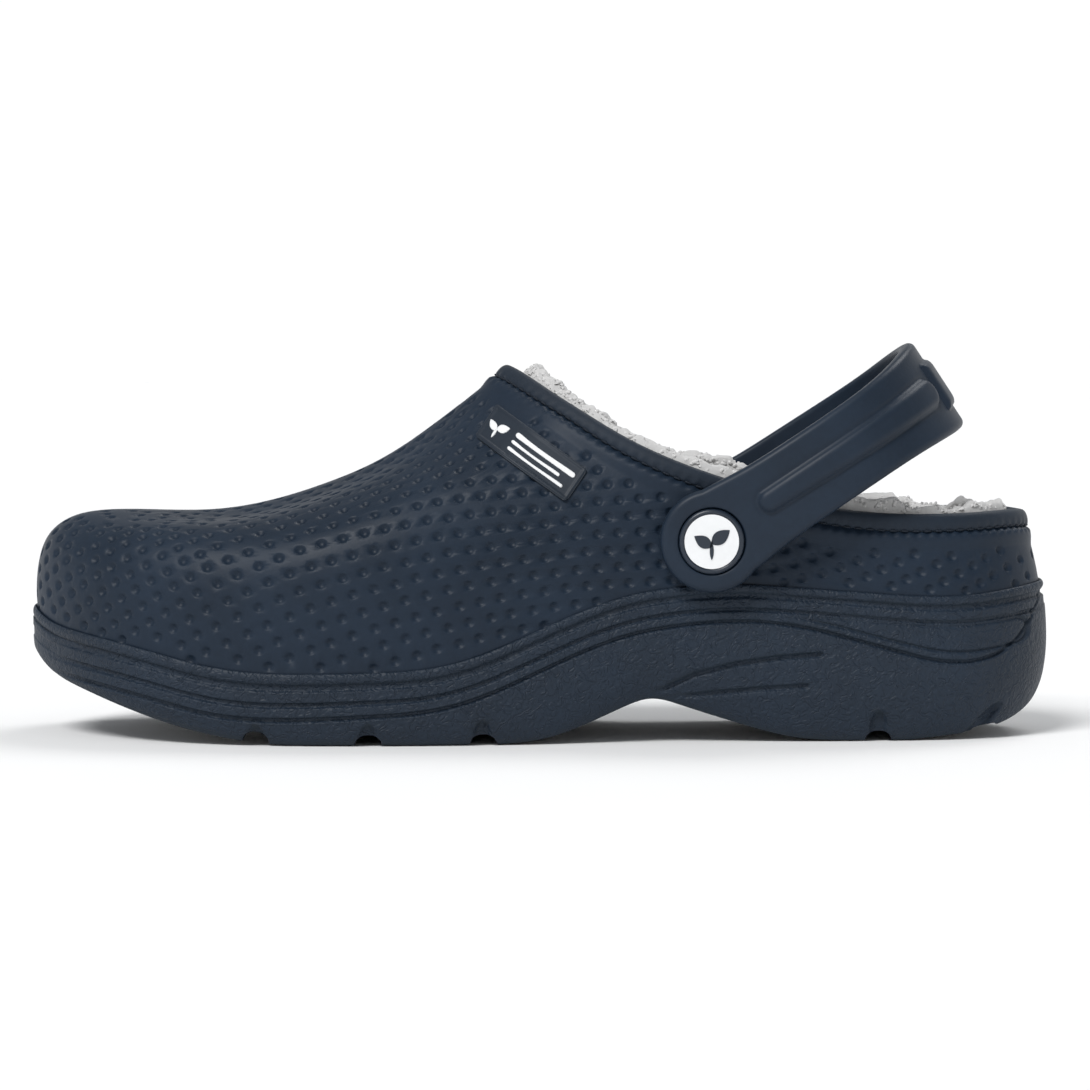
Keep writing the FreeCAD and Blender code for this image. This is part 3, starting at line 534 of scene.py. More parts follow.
def make_upper():
    columns, rows = ((1100, 270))
    u = np.arange(columns) / columns
    down = depth_table(u)
    top = np.array([np.interp(-1.0, -row, V_STEPS) for row in down])
    share = np.linspace(0, 1, rows)
    v = share[:, None] * top[None, :]
    depth = np.stack([np.interp(v[:, i], V_STEPS, down[i]) for i in range(columns)], 1)
    uu = np.broadcast_to(u[None, :], v.shape)
    plain = wall(uu, v)
    normal = wall(uu, v, 1.0) - plain
    along, _ = seam_lengths(u)
    wave = np.cos(2 * np.pi * STITCHES * along / (along[-1] + np.linalg.norm(plain[-1, 0] - plain[-1, -1])))
    puff = step(depth, SEAM_DEPTH - 0.1, SEAM_DEPTH + 1.9)
    puff = puff * (1 - step(depth, SEAM_DEPTH + 2.2, DIMPLE_FREE + 0.5))
    pucker = np.exp(-((depth - SEAM_DEPTH - 0.8) / 1.1) ** 2) * wave[None, :]
    out = 0.75 * puff + 0.22 * pucker + 0.10 * puff * noise3(plain, 9, 3)
    out -= 0.25 * np.exp(-((depth - SEAM_DEPTH) / 0.7) ** 2)
    out = np.where(depth < SEAM_DEPTH - 0.5, -0.15, out)
    centres = dimple_centres(u, plain, depth)
    tree = KDTree(plain.shape[0] * columns)
    flat = plain.reshape(-1, 3)
    for i in range(len(flat)):
        tree.insert(flat[i], i)
    tree.balance()
    ball = (DIMPLE_R**2 + DIMPLE_DEEP**2) / (2 * DIMPLE_DEEP)
    flat_out = out.ravel().copy()
    for c in centres:
        for _, i, r in tree.find_range(c, DIMPLE_R):
            flat_out[i] = min(flat_out[i], -(math.sqrt(ball * ball - r * r) - (ball - DIMPLE_DEEP)))
    out = flat_out.reshape(out.shape)
    outer = plain + normal * out[..., None]
    for side in (0, 1):
        sign = (-1, 1)[side]
        face = EYE_FACE[side] - sign * WASHER
        far = np.hypot(outer[..., 0] - PIVOT_X, outer[..., 2] - PIVOT_Z)
        take = (1 - step(far, BOSS_R - 0.2, BOSS_R + 1.0)) * (outer[..., 1] * sign > 0)
        outer[..., 1] += take * (face - outer[..., 1])
    x, _ = edge_of_sole(u, LIP)
    below = []
    for drop, inset in ((LEDGE, LIP), (0.4, LIP)):
        ex, ey = edge_of_sole(u, inset)
        below.append(np.stack([ex, ey, sole_line(x) - drop], -1))
    inner_rows = 14
    inner = []
    for t in np.linspace(1, 0, inner_rows):
        inner.append(wall(u, t * top, -SHELL))
    ex, ey = edge_of_sole(u, LIP + SHELL)
    inner.append(np.stack([ex, ey, sole_line(x) - LEDGE], -1))
    points, quads = ring(below + list(outer) + inner)
    piece = build("clog_upper", points, quads, upper_look, "clog", ["upper_shell"])
    decimate(piece, MOST_FACES)
    return piece


# ---------------------------------------------------------------- the sole
def sole_columns(count):
    """Matching u values on both sides of the foot, heel to toe, with equal x."""
    fine = np.linspace(-0.5, 1, 6001)
    x, _ = edge_of_sole(fine)
    heel = fine[np.argmax(np.where((fine > -0.1) & (fine < 0.1), x, -1e9))]
    toe = fine[np.argmin(np.where((fine > 0.3) & (fine < 0.7), x, 1e9))]
    outer = heel + (toe - heel) * np.linspace(0, 1, count + 1)
    x_outer, _ = edge_of_sole(outer)
    other = np.linspace(heel, toe - 1, 4001)
    x_other, _ = edge_of_sole(other)
    inner = np.interp(-x_outer, -x_other, other)
    inner[0], inner[-1] = heel, toe - 1
    return outer, inner


def relief(depth, x):
    """How far the sole's side is sunk at a depth below its top edge: bead, grooves and ridges."""
    scale = relief_scale(x)
    fade = step(x, -131, -118)
    back = step(x, 128, 133)
    d = depth / scale
    dip = ridge_dip(x) / scale
    bead = 0.95 * (1 - np.sqrt(np.clip(1 - ((d - 1.35) / 1.45) ** 2, 0, 1)))
    bead = np.where(d > 2.8, 0.95, bead)
    first = 1 - step(d, 3.9, 4.9)
    sunk = np.where(d < 1.35, bead, np.maximum(bead, 0) * first)
    sunk = np.where((d > 2.8), 0.95 * fade * first, sunk)
    sunk += 0.22 * step(d, 4.4, 5.0) * (1 - step(d, 6.9, 7.3))
    sunk += 0.95 * fade * (1 - back) * step(d, 6.9, 7.3) * (1 - step(d, 7.9, 8.7))
    half = leaf_dip(x) / scale / 2
    r = np.minimum(half, 3.2)
    out_x, out_d = np.maximum(x - 127.5 + r, 0), np.maximum(np.abs(d - 8.5 - half) - half + r, 0)
    leaf_in = r - np.hypot(out_x, out_d)
    panel = step(half, 0.4, 1.2)
    sunk += panel * (0.4 * step(leaf_in, -0.2, 0.5) + 0.65 * np.exp(-((leaf_in - 0.2) / 0.4) ** 2))
    third = step(d, 10.5 + dip, 10.9 + dip) * (1 - step(d, 11.4 + dip, 12.3 + dip))
    sunk += 0.95 * fade * third * (1 - back * 0.6)
    sunk += 0.15 * step(d, 12.0 + dip, 12.6 + dip)
    return sunk


def arch_lines(x, z):
    """Depth of the two long grooves and the smooth wedge between them, under the arch."""
    upper = np.interp(x, [27, 31, 40, 51, 62, 73], [10.0, 13.2, 17.6, 20.3, 21.8, 22.6])
    lower = np.interp(x, [27, 33, 45, 57, 70], [9.0, 11.4, 12.7, 13.7, 14.5])
    one = (1 - step(np.abs(z - upper), 0.45, 0.95)) * step(x, 27, 34) * (1 - step(x, 72.5, 73.6))
    two = (1 - step(np.abs(z - lower), 0.4, 0.85)) * step(x, 29, 38) * (1 - step(x, 69.0, 70.2))
    between = step(z, lower, lower + 1) * (1 - step(z, upper - 1, upper))
    between = between * step(x, 30, 40) * (1 - step(x, 60, 73))
    return 0.95 * one + 0.85 * two + 0.25 * between


def notch(p):
    """How far the tread is lifted by the grooves across it."""
    lift = np.zeros(p.shape[:-1])
    for middle, deep, _ in TREAD_GROOVES:
        r = np.abs(p[..., 0] - middle) / 3.5
        arch = np.sqrt(np.clip(1 - r**2.4, 0, 1))
        lift = np.maximum(lift, deep * arch * (1 - step(r, 0.86, 1.05)))
    return lift


def ribs(p):
    """Wavy ribs across the tread."""
    wave = np.sin(p[..., 0] * 2 * np.pi / RIB_PITCH + 0.9 * np.sin(p[..., 1] / 7))
    return RIB_HIGH * step(wave, 0.55, 0.85)


def make_sole():
    count = 560
    outer_u, inner_u = sole_columns(count)
    u = np.concatenate([outer_u, inner_u[-2:0:-1]])
    columns = len(u)
    sides = 150
    x0, _ = edge_of_sole(u)
    top = sole_line(x0)
    toe = COLUMNS[5](u * PERIMETER)
    quarter = COLUMNS[6](u * PERIMETER)
    under = SOLE_UNDER + TOE_UNDER * toe
    bottom = tread(edge_of_sole(u, under)[0]) - 0.5
    rows = []
    for inset, drop in ((CAVITY, LEDGE + 0.1), (LIP - GAP, LEDGE + 0.1), (LIP - GAP, 0.5)):
        ex, ey = edge_of_sole(u, inset)
        rows.append(np.stack([ex, ey, top - drop], -1))
    for t in np.linspace(0, 1, sides):
        depth = t * (top - bottom)
        bulge = HEEL_BULGE * quarter * np.sin(np.pi * t)
        inset = under * (1 - math.sqrt(max(0.0, 1 - t**5))) - bulge
        z = np.maximum(top - depth, tread(edge_of_sole(u, inset)[0]))
        low = 1 - step(np.full(columns, t), 0.82, 0.97)
        inset = inset + relief(depth, x0) * low
        inset = inset + arch_lines(x0, z) * low
        for middle, _, tall in TREAD_GROOVES:
            lean = middle + np.where(middle > 100, 1.0, 0) * 0.75 * (z - 4)
            near = 1 - step(np.abs(x0 - lean), 1.4, 2.8)
            up = 1 - step(z + 0.5 * (x0 - lean) ** 2, tall - 1.8, tall)
            inset = inset + FLUTE_DEEP * near * up * step(np.full(columns, t), 0.3, 0.5)
        ex, ey = edge_of_sole(u, inset)
        rows.append(np.stack([ex, ey, z], -1))
    ring_points = np.stack(rows)
    last = ring_points[-1]
    left = last[: count + 1]
    right = np.concatenate([last[:1], last[count + 1:][::-1], last[count:count + 1]])
    across = 60
    t = np.linspace(0, 1, across + 1)[1:-1]
    inside = left[1:-1, None, :] + (right[1:-1, None, :] - left[1:-1, None, :]) * t[None, :, None]
    border = np.minimum(t, 1 - t)[None, :] * np.abs(left[1:-1, 1] - right[1:-1, 1])[:, None]
    ends = np.minimum(inside[..., 0] + 128, 128 - inside[..., 0])
    border = np.minimum(border, np.maximum(ends, 0))
    z = tread(inside[..., 0])
    arch = step(inside[..., 0], 2, 12) * (1 - step(inside[..., 0], 60, 70))
    z = z + notch(inside) + ribs(inside) * step(border, 4.0, 5.0) * (1 - arch)
    z = z + 0.8 * np.exp(-((border - BORDER) / 0.5) ** 2) * (1 - arch)
    inside = np.stack([inside[..., 0], inside[..., 1], z], -1)
    lowest = tread(ring_points[..., 0]) + notch(ring_points)
    ring_points[..., 2] = np.maximum(ring_points[..., 2], lowest)
    sides_quads = grid_quads(len(rows), columns)
    base = (len(rows) - 1) * columns
    offset = len(rows) * columns
    width = across - 1
    index = offset + np.arange((count - 1) * width).reshape(count - 1, width)
    lefts = base + np.arange(1, count)
    rights = base + np.arange(columns - 1, count, -1)
    full = np.concatenate([lefts[:, None], index, rights[:, None]], 1)
    patch = np.stack([full[:-1, :-1], full[:-1, 1:], full[1:, 1:], full[1:, :-1]], -1).reshape(-1, 4)
    heel, toe_tip = base, base + count
    tris = [np.stack([np.full(across, heel), full[0, 1:], full[0, :-1]], -1),
            np.stack([np.full(across, toe_tip), full[-1, :-1], full[-1, 1:]], -1)]
    # The cup inside, under the insole.
    ex, ey = edge_of_sole(u, CAVITY)
    cup = np.stack([ex, ey, cup_floor(ex)], -1)
    cup_start = offset + len(inside.reshape(-1, 3))
    here = np.arange(columns)
    after = (here + 1) % columns
    down = np.stack([here, after, cup_start + after, cup_start + here], -1)[:, ::-1]
    cl = cup_start + np.arange(1, count)
    cr = cup_start + np.arange(columns - 1, count, -1)
    floor = np.stack([cl[:-1], cl[1:], cr[1:], cr[:-1]], -1)
    floor_ends = np.array([[cup_start, cl[0], cr[0]], [cup_start + count, cr[-1], cl[-1]]])
    points = np.concatenate([ring_points.reshape(-1, 3), inside.reshape(-1, 3), cup])
    piece = build("clog_sole", points, [sides_quads, patch, down, floor, np.concatenate(tris), floor_ends],
                  [sole_look, tread_look], "clog", ["sole_unit"])
    fix_normals(piece)
    for face in piece.data.polygons:
        if face.normal.z < -0.6:
            face.material_index = 1
    decimate(piece, MOST_FACES)
    return piece


# ---------------------------------------------------------------- binding, stitches and label
def make_binding():
    columns = 1400
    u = np.arange(columns) / columns
    along, _ = seam_lengths(u)
    total = along[-1] + 0.3
    wave = np.cos(2 * np.pi * STITCHES * along / total)
    # Depth below the collar, distance out from the wall, and how strongly the stitches pucker it.
    section = [(4.75, -0.1, 1), (4.62, 0.25, 1), (4.3, 0.5, 0.9), (3.8, 0.72, 0.5), (3.1, 0.9, 0.2),
               (2.3, 0.98, 0), (1.6, 0.9, 0), (1.0, 0.72, 0), (0.5, 0.36, 0), (0.15, -0.2, 0),
               (0.0, -0.9, 0), (0.0, -2.0, 0), (0.1, -2.8, 0), (0.45, -3.4, 0), (1.1, -3.8, 0),
               (2.2, -3.9, 0), (4.8, -3.9, 0), (4.8, -3.1, 0), (1.1, -3.1, 0), (1.1, -0.05, 0),
               (3.6, -0.05, 0), (4.4, -0.1, 0)]
    rings = []
    for depth, out, share in section:
        p = wall(u, v_at_depth(u, depth), 0.0)
        n = wall(u, v_at_depth(u, depth), 1.0) - p
        soft = 0.07 * noise3(p, 14, 5) + 0.05 * noise3(p, 4, 6)
        outside = (out > -0.5) and depth < 4.7 and out > 0
        rings.append(p + n * (out + 0.16 * share * wave + (soft if outside else 0))[:, None]
                     if share or outside else p + n * out)
    points, quads = ring(rings)
    return build("clog_binding", points, quads, binding_look, "clog", ["collar_binding"])


def tube(centres, radii, sides=8):
    """A round-ended tube along points, as vertices and quads."""
    centres = np.asarray(centres, float)
    way = unit(np.gradient(centres, axis=0))
    side = unit(np.cross(way, [0.13, 0.2, 0.97]))
    up = np.cross(way, side)
    angle = np.linspace(0, 2 * np.pi, sides, endpoint=False)
    offsets = side[:, None] * np.cos(angle)[None, :, None] + up[:, None] * np.sin(angle)[None, :, None]
    points = centres[:, None] + offsets * np.asarray(radii)[:, None, None]
    return points.reshape(-1, 3), grid_quads(len(centres), sides)


def make_stitches():
    fine = np.arange(3000) / 3000
    along, seam = seam_lengths(fine)
    normal = wall(fine, v_at_depth(fine, SEAM_DEPTH), 1.0) - seam
    total = along[-1] + np.linalg.norm(seam[0] - seam[-1])
    all_points, all_quads, start = [], [], 0
    for k in range(STITCHES):
        middle = (k + 0.5) * total / STITCHES
        t = np.linspace(-1.15, 1.15, 8)
        s = (middle + t) % total
        centre = np.stack([np.interp(s, along, seam[:, i]) for i in range(3)], -1)
        n = np.stack([np.interp(s, along, normal[:, i]) for i in range(3)], -1)
        lift = 0.33 - 0.62 * np.abs(t / 1.15) ** 4
        radius = 0.27 * np.sqrt(np.clip(1.04 - np.abs(t / 1.15) ** 6, 0, 1))
        points, quads = tube(centre + n * lift[:, None], radius)
        all_points.append(points)
        all_quads.append(quads + start)
        start += len(points)
    return build("clog_stitches", np.concatenate(all_points), np.concatenate(all_quads), thread_look,
                 "clog", ["collar_stitching"])


def wall_at(x, z):
    """u and v of the outer side's points that show at x, z from the side. Works on arrays."""
    u, v = np.full(np.shape(x), 0.3), np.full(np.shape(x), 0.6)
    for _ in range(40):
        here = wall_point(u, v)
        du, dv = wall_point(u + 1e-4, v) - here, wall_point(u, v + 1e-4) - here
        a, b, c, d = du[..., 0] / 1e-4, dv[..., 0] / 1e-4, du[..., 2] / 1e-4, dv[..., 2] / 1e-4
        ex, ez = x - here[..., 0], z - here[..., 2]
        size = a * d - b * c
        u = u + 0.7 * (ex * d - b * ez) / size
        v = np.clip(v + 0.7 * (a * ez - ex * c) / size, 0.05, 0.99)
    return u, v


def on_label(a, b, out):
    """Points on the label's plane, a along it and b across it, at a height above the wall."""
    c, s = math.cos(LABEL_SLOPE), math.sin(LABEL_SLOPE)
    u, v = wall_at(LABEL_CENTRE[0] + a * c - b * s, LABEL_CENTRE[1] + a * s + b * c)
    return wall(u, v, out)


def make_label():
    half_a, half_b, corner = LABEL_SIZE[0] / 2, LABEL_SIZE[1] / 2, 1.1
    na, nb = 96, 40
    a = np.linspace(-1, 1, na)
    b = np.linspace(-1, 1, nb)
    a, b = np.sign(a) * np.abs(a) ** 0.8 * half_a, np.sign(b) * np.abs(b) ** 0.75 * half_b
    aa, bb = np.meshgrid(a, b, indexing="ij")
    far_a = np.maximum(np.abs(aa) - (half_a - corner), 0)
    far_b = np.maximum(np.abs(bb) - (half_b - corner), 0)
    far = np.hypot(far_a, far_b)
    pull = np.where(far > corner, corner / np.maximum(far, 1e-9), 1)
    aa = np.where(far_a > 0, np.sign(aa) * (half_a - corner + far_a * pull), aa)
    bb = np.where(far_b > 0, np.sign(bb) * (half_b - corner + far_b * pull), bb)
    edge = np.minimum(half_a - np.abs(aa), half_b - np.abs(bb))
    height = 0.55 + 0.5 * dome(edge, 0.5)
    height -= 0.22 * step(edge, 0.85, 1.05)
    top = on_label(aa, bb, height)
    low = on_label(aa, bb, np.full(aa.shape, 0.08))
    rim = np.concatenate([np.arange(nb), np.arange(1, na) * nb + nb - 1,
                          (na - 1) * nb + np.arange(nb - 2, -1, -1), np.arange(na - 2, 0, -1) * nb])
    quads = grid_quads(na, nb, wrap=False)
    n = na * nb
    after = np.roll(rim, -1)
    sides = np.stack([rim, after, after + n, rim + n], -1)
    points = np.concatenate([top.reshape(-1, 3), low.reshape(-1, 3)])
    build("clog_label", points, [quads, quads[:, ::-1] + n, sides], label_look, "clog",
          ["side_label"])
    shapes = leaf_shapes(3.1, (-10.4, 0.0))
    shapes += [bar(-5.6, 12.6, 1.5, 1.3), bar(-5.6, 9.2, -0.6, 0.8), bar(-5.6, 11.4, -2.5, 0.8)]
    prints(shapes, lambda p, h: on_label(p[:, 0], p[:, 1], h), 0.86, 0.2, "clog_label_print", "clog")


def bar(a0, a1, b, width):
    """A plain round-ended bar as an outline."""
    r = width / 2
    angle = np.linspace(-np.pi / 2, np.pi / 2, 9)
    right = np.stack([a1 - r + r * np.cos(angle), b + r * np.sin(angle)], -1)
    left = np.stack([a0 + r - r * np.cos(angle), b - r * np.sin(angle)], -1)
    return np.concatenate([right, left])


def leaf(x, y, angle, length, width):
    """A pointed leaf's outline from its stem end."""
    t = np.linspace(0, 1, 15)
    w = width * np.sin(np.pi * t**0.85) ** 0.9
    w[0] = w[-1] = 0
    a = np.concatenate([t * length, t[-2:0:-1] * length])
    b = np.concatenate([w / 2, -w[-2:0:-1] / 2])
    c, s = math.cos(angle), math.sin(angle)
    return np.stack([x + a * c - b * s, y + a * s + b * c], -1)[::-1]


def leaf_shapes(size, centre, turn=0.0):
    """A sprout: a stem and two leaves, about size in radius."""
    x, y = centre
    c, s = math.cos(turn), math.sin(turn)

    def at(a, b):
        return x + a * c - b * s, y + a * s + b * c

    stem_low, fork = at(0, -size * 0.95), at(0, -size * 0.15)
    way = math.atan2(fork[1] - stem_low[1], fork[0] - stem_low[0])
    stem = leaf(*stem_low, way, size * 1.0, size * 0.2)
    return [stem, leaf(*fork, turn + math.radians(38), size * 1.12, size * 0.66),
            leaf(*at(0, -size * 0.3), turn + math.radians(148), size * 1.02, size * 0.6)]


def prints(shapes, lift, base, thick, name, body):
    """Thin raised print: each outline as a small slab that follows the surface below it."""
    points, faces, start = [], [], 0
    for outline in shapes:
        x0, y0 = outline.min(0)
        x1, y1 = outline.max(0)
        pad = [Vector(p) for p in outline]
        n = len(pad)
        inner = [Vector((x, y)) for x in np.arange(x0, x1, 0.5) for y in np.arange(y0, y1, 0.5)
                 if inside_outline(outline, x, y)]
        edges = [(i, (i + 1) % n) for i in range(n)]
        verts, _, tris, _, _, _ = delaunay_2d_cdt(pad + inner, edges, [list(range(n))], 1, 1e-5)
        flat = np.array([tuple(v) for v in verts])
        top = lift(flat, np.full(len(flat), base + thick))
        low = lift(flat, np.full(len(flat), base - 0.1))
        tris = np.array([t for t in tris if len(t) == 3])
        m = len(flat)
        sides = {(int(t[i]), int(t[(i + 1) % 3])): 1 for t in tris for i in range(3)}
        open_edges = [(a, b) for a, b in sides if (b, a) not in sides]
        wall_a = np.array([(b, a, a + m) for a, b in open_edges])
        wall_b = np.array([(b, a + m, b + m) for a, b in open_edges])
        points += [top, low]
        faces += [tris + start, tris[:, ::-1] + m + start, wall_a + start, wall_b + start]
        start += 2 * m
    return build(name, np.concatenate(points), [np.concatenate(faces)], white_look, body, smooth=False)


def inside_outline(outline, x, y):
    a, b = outline, np.roll(outline, -1, axis=0)
    cross = ((a[:, 1] > y) != (b[:, 1] > y)) & (
        x < (b[:, 0] - a[:, 0]) * (y - a[:, 1]) / (b[:, 1] - a[:, 1] + 1e-12) + a[:, 0])
    near = np.hypot(a[:, 0] - x, a[:, 1] - y).min()
    return bool(cross.sum() % 2) and near > 0.18


# ---------------------------------------------------------------- the strap and its rivets
def strap_path():
    """The strap's outer line in plan as a dense table: length from the inner eye's middle, a, y."""
    half = EYE_HALF + EYE_THICK
    outer = [(16, half), (32, half - 1.2), (47, half - 4.6), (60, half - 11.8), (69.5, half - 24)]
    knots = np.array(outer + [(STRAP_REACH, 0)] + [(a, -y) for a, y in reversed(outer)])
    chord = np.concatenate([[0], np.cumsum(np.linalg.norm(np.diff(knots, axis=0), axis=-1))])
    lead = np.array([[-16.0, half], [-8.0, half], [0.0, half], [8.0, half]])
    tail = np.array([[8.0, -half], [0.0, -half], [-8.0, -half], [-16.0, -half]])
    every = np.concatenate([lead, knots, tail])
    at = np.concatenate([[-32, -24, -16, -8], chord, chord[-1] + np.array([8, 16, 24, 32])])
    fa, fy = spline(at, every[:, 0]), spline(at, every[:, 1])
    t = np.linspace(-32, chord[-1] + 32, 4001)
    a, y = fa(t), fy(t)
    s = np.concatenate([[0], np.cumsum(np.hypot(np.diff(a), np.diff(y)))])
    s -= np.interp(-16.0, t, s)
    return s, a, y


PATH_S, PATH_A, PATH_Y = strap_path()
STRAP_LENGTH = float(np.interp(STRAP_REACH, PATH_A[: len(PATH_A) // 2], PATH_S[: len(PATH_S) // 2])) * 2
arm_half = spline([0, 5, 16, 30, 45, 62, 78], [12.6, 12.33, 11.3, 10.9, 10.9, 11.6, 13.9])


def half_width(s, d=0.0):
    """Half the strap's width at a length s from the inner eye, moved in from its edge by d."""
    s = np.minimum(s, STRAP_LENGTH - s)
    a = np.interp(s, PATH_S, PATH_A)
    eye = np.sqrt(np.clip((EYE_R - d) ** 2 - s**2, 0, None))
    arm = np.where(s > 0, arm_half(np.maximum(a, 0)) - d, 0)
    return np.where(s < 5, eye, np.maximum(eye, arm))


def strap_frame(s):
    a, y = np.interp(s, PATH_S, PATH_A), np.interp(s, PATH_S, PATH_Y)
    ta = np.interp(s + 0.4, PATH_S, PATH_A) - np.interp(s - 0.4, PATH_S, PATH_A)
    ty = np.interp(s + 0.4, PATH_S, PATH_Y) - np.interp(s - 0.4, PATH_S, PATH_Y)
    size = np.hypot(ta, ty)
    return a, y, ty / size, -ta / size


def strap_point(s, c, inward):
    """A point of the strap: s along it, c across it, inward from its outer face."""
    a, y, na, ny = strap_frame(s)
    a, y = a + na * inward, y + ny * inward
    # The strap's path runs from the inner eye (+y) to the outer eye (-y).
    angle = math.radians(STRAP_REST)
    return np.stack([PIVOT_X + a * math.cos(angle) - c * math.sin(angle), STRAP_MIDDLE + y,
                     PIVOT_Z + a * math.sin(angle) + c * math.cos(angle)], -1)


def strap_outline(d):
    """The strap's edge as a closed loop in s and c, moved in by d."""
    join = 5.0
    r = EYE_R - d
    first = math.acos(join / EYE_R)
    angle = np.linspace(first, 2 * np.pi - first, 60)
    left = np.stack([r * np.cos(angle), r * np.sin(angle)], -1)
    s = np.arange(join + 1.0, STRAP_LENGTH - join - 0.5, 0.9)
    low = np.stack([s, -half_width(s, d)], -1)
    right = np.stack([STRAP_LENGTH - r * np.cos(angle), -r * np.sin(angle)], -1)
    high = np.stack([s[::-1], half_width(s[::-1], d)], -1)
    return np.concatenate([left, low, right, high])


def capsule(s, c, s0, s1, w0, w1, mid=0.0):
    """Distance inside a long rounded bar in the strap's plane, positive inside."""
    t = np.clip((s - s0) / (s1 - s0), 0, 1)
    return w0 + (w1 - w0) * t - np.hypot(s - (s0 + (s1 - s0) * t), c - mid)


def strap_relief(s, c):
    """How far the strap's outer face stands out: two long ribs and the pad at the back."""
    m = np.minimum(s, STRAP_LENGTH - s)
    end = STRAP_LENGTH / 2 - 20.5
    rib = capsule(m, c, 18.0, end, 2.9, 4.0, 0.6 * (1 - step(m, 18, 60)))
    pad = np.minimum(7.0 - np.abs(c), m - (STRAP_LENGTH / 2 - 14.5))
    groove = -0.25 * np.exp(-((rib + 0.5) / 0.6) ** 2)
    return np.maximum(1.45 * dome(rib, 2.2), 1.4 * dome(pad, 2.6)) + groove


def make_strap():
    spacing = 0.62
    outlines = [strap_outline(d) for d in (0, 0.12, 0.35, 0.7, 1.15, 1.7)]
    n = len(outlines[0])
    points = [p for o in outlines for p in o]
    edges = [(r * n + i, r * n + (i + 1) % n) for r in (0, 2, 4) for i in range(n)]
    angle = np.linspace(0, 2 * np.pi, 72, endpoint=False)
    circles = []
    for centre in (0.0, STRAP_LENGTH):
        for radius in (HOLE_R, HEAD_R + 0.2, HEAD_R + 0.35, HEAD_R + 0.6, HEAD_R + 1.0):
            first = len(points)
            points += list(np.stack([centre + radius * np.cos(angle), radius * np.sin(angle)], -1))
            edges += [(first + i, first + (i + 1) % 72) for i in range(72)]
            circles.append((first, radius))
    inner = []
    row = 0
    for c in np.arange(-14, 14, spacing * 0.866):
        row += 1
        s = np.arange(-13, STRAP_LENGTH + 13, spacing) + (row % 2) * spacing / 2
        m = np.minimum(s, STRAP_LENGTH - s)
        rho = np.hypot(m, c)
        keep = (abs(c) < half_width(s, 0) - 2.0) & ((m > 5) | (rho < EYE_R - 2.0))
        for radius in (HOLE_R, HEAD_R + 0.3, HEAD_R + 0.8):
            keep &= np.abs(rho - radius) > 0.45
        keep &= rho > HOLE_R
        inner += list(np.stack([s[keep], np.full(keep.sum(), c)], -1))
    verts = [Vector((float(p[0]), float(p[1]))) for p in points + inner]
    flat, _, tris, origin, _, _ = delaunay_2d_cdt(verts, edges, [], 0, 1e-6)
    where = {}
    for new, olds in enumerate(origin):
        for old in olds:
            where[old] = new
    flat = np.array([tuple(v) for v in flat])
    tris = np.array([t for t in tris if len(t) == 3])
    centre = flat[tris].mean(1)
    m = np.minimum(centre[:, 0], STRAP_LENGTH - centre[:, 0])
    rho = np.hypot(m, centre[:, 1])
    good = (rho > HOLE_R) & np.where(m < 5, rho < EYE_R, np.abs(centre[:, 1]) < half_width(centre[:, 0]))
    tris = tris[good]
    s, c = flat[:, 0], flat[:, 1]
    m = np.minimum(s, STRAP_LENGTH - s)
    rho = np.hypot(m, c)
    edge = np.where(m < 5, EYE_R - rho, half_width(s) - np.abs(c))
    edge = np.clip(edge, 0, None)
    big, small = 1.7, 1.0
    outer_drop = big - np.sqrt(np.clip(big**2 - np.clip(big - edge, 0, None) ** 2, 0, None))
    inner_drop = small - np.sqrt(np.clip(small**2 - np.clip(small - edge, 0, None) ** 2, 0, None))
    a = np.interp(m, PATH_S, PATH_A)
    thick = STRAP_THICK + (EYE_THICK - STRAP_THICK) * np.clip(1 - (a - 16) / 30, 0, 1)
    rise = strap_relief(s, c)
    seat = 2.1 * (1 - step(rho, HEAD_R + 0.2, HEAD_R + 0.36))
    lip = 0.5 * (1 - step(rho, HEAD_R + 0.36, HEAD_R + 1.0)) * (rho > HEAD_R + 0.3)
    outside = strap_point(s, c, outer_drop - rise + seat + 0.35 * lip)
    inside = strap_point(s, c, thick - inner_drop)
    used = np.unique(tris)
    count = len(flat)
    loops = [[where[i] for i in range(n)]]
    loops += [[where[f + i] for i in range(72)] for f, r in circles if r == HOLE_R]
    walls = []
    for k, loop in enumerate(loops):
        a0 = np.array(loop)
        b0 = np.roll(a0, -1)
        quad = np.stack([a0, b0, b0 + count, a0 + count], -1)
        walls.append(quad if k == 0 else quad[:, ::-1])
    points = np.concatenate([outside, inside])
    faces = [tris, tris[:, ::-1] + count] + walls
    remap = np.full(len(points), -1)
    keep = np.unique(np.concatenate([used, used + count]))
    remap[keep] = np.arange(len(keep))
    faces = [remap[f] for f in faces]
    faces = [f[(f >= 0).all(1)] for f in faces]
    piece = build("heel_strap_band", points[keep], faces, strap_look, "strap", ["heel_strap"])
    fix_normals(piece)
    return piece


def fix_normals(piece, close=False):
    """Makes every face of a mesh point outwards, first capping its open ends if close."""
    bm = bmesh.new()
    bm.from_mesh(piece.data)
    bmesh.ops.remove_doubles(bm, verts=bm.verts, dist=1e-7)
    if close:
        filled = bmesh.ops.holes_fill(bm, edges=bm.edges, sides=0)
        bmesh.ops.triangulate(bm, faces=filled["faces"])
    bmesh.ops.recalc_face_normals(bm, faces=bm.faces)
    bm.to_mesh(piece.data)
    bm.free()
    piece.data.shade_smooth()


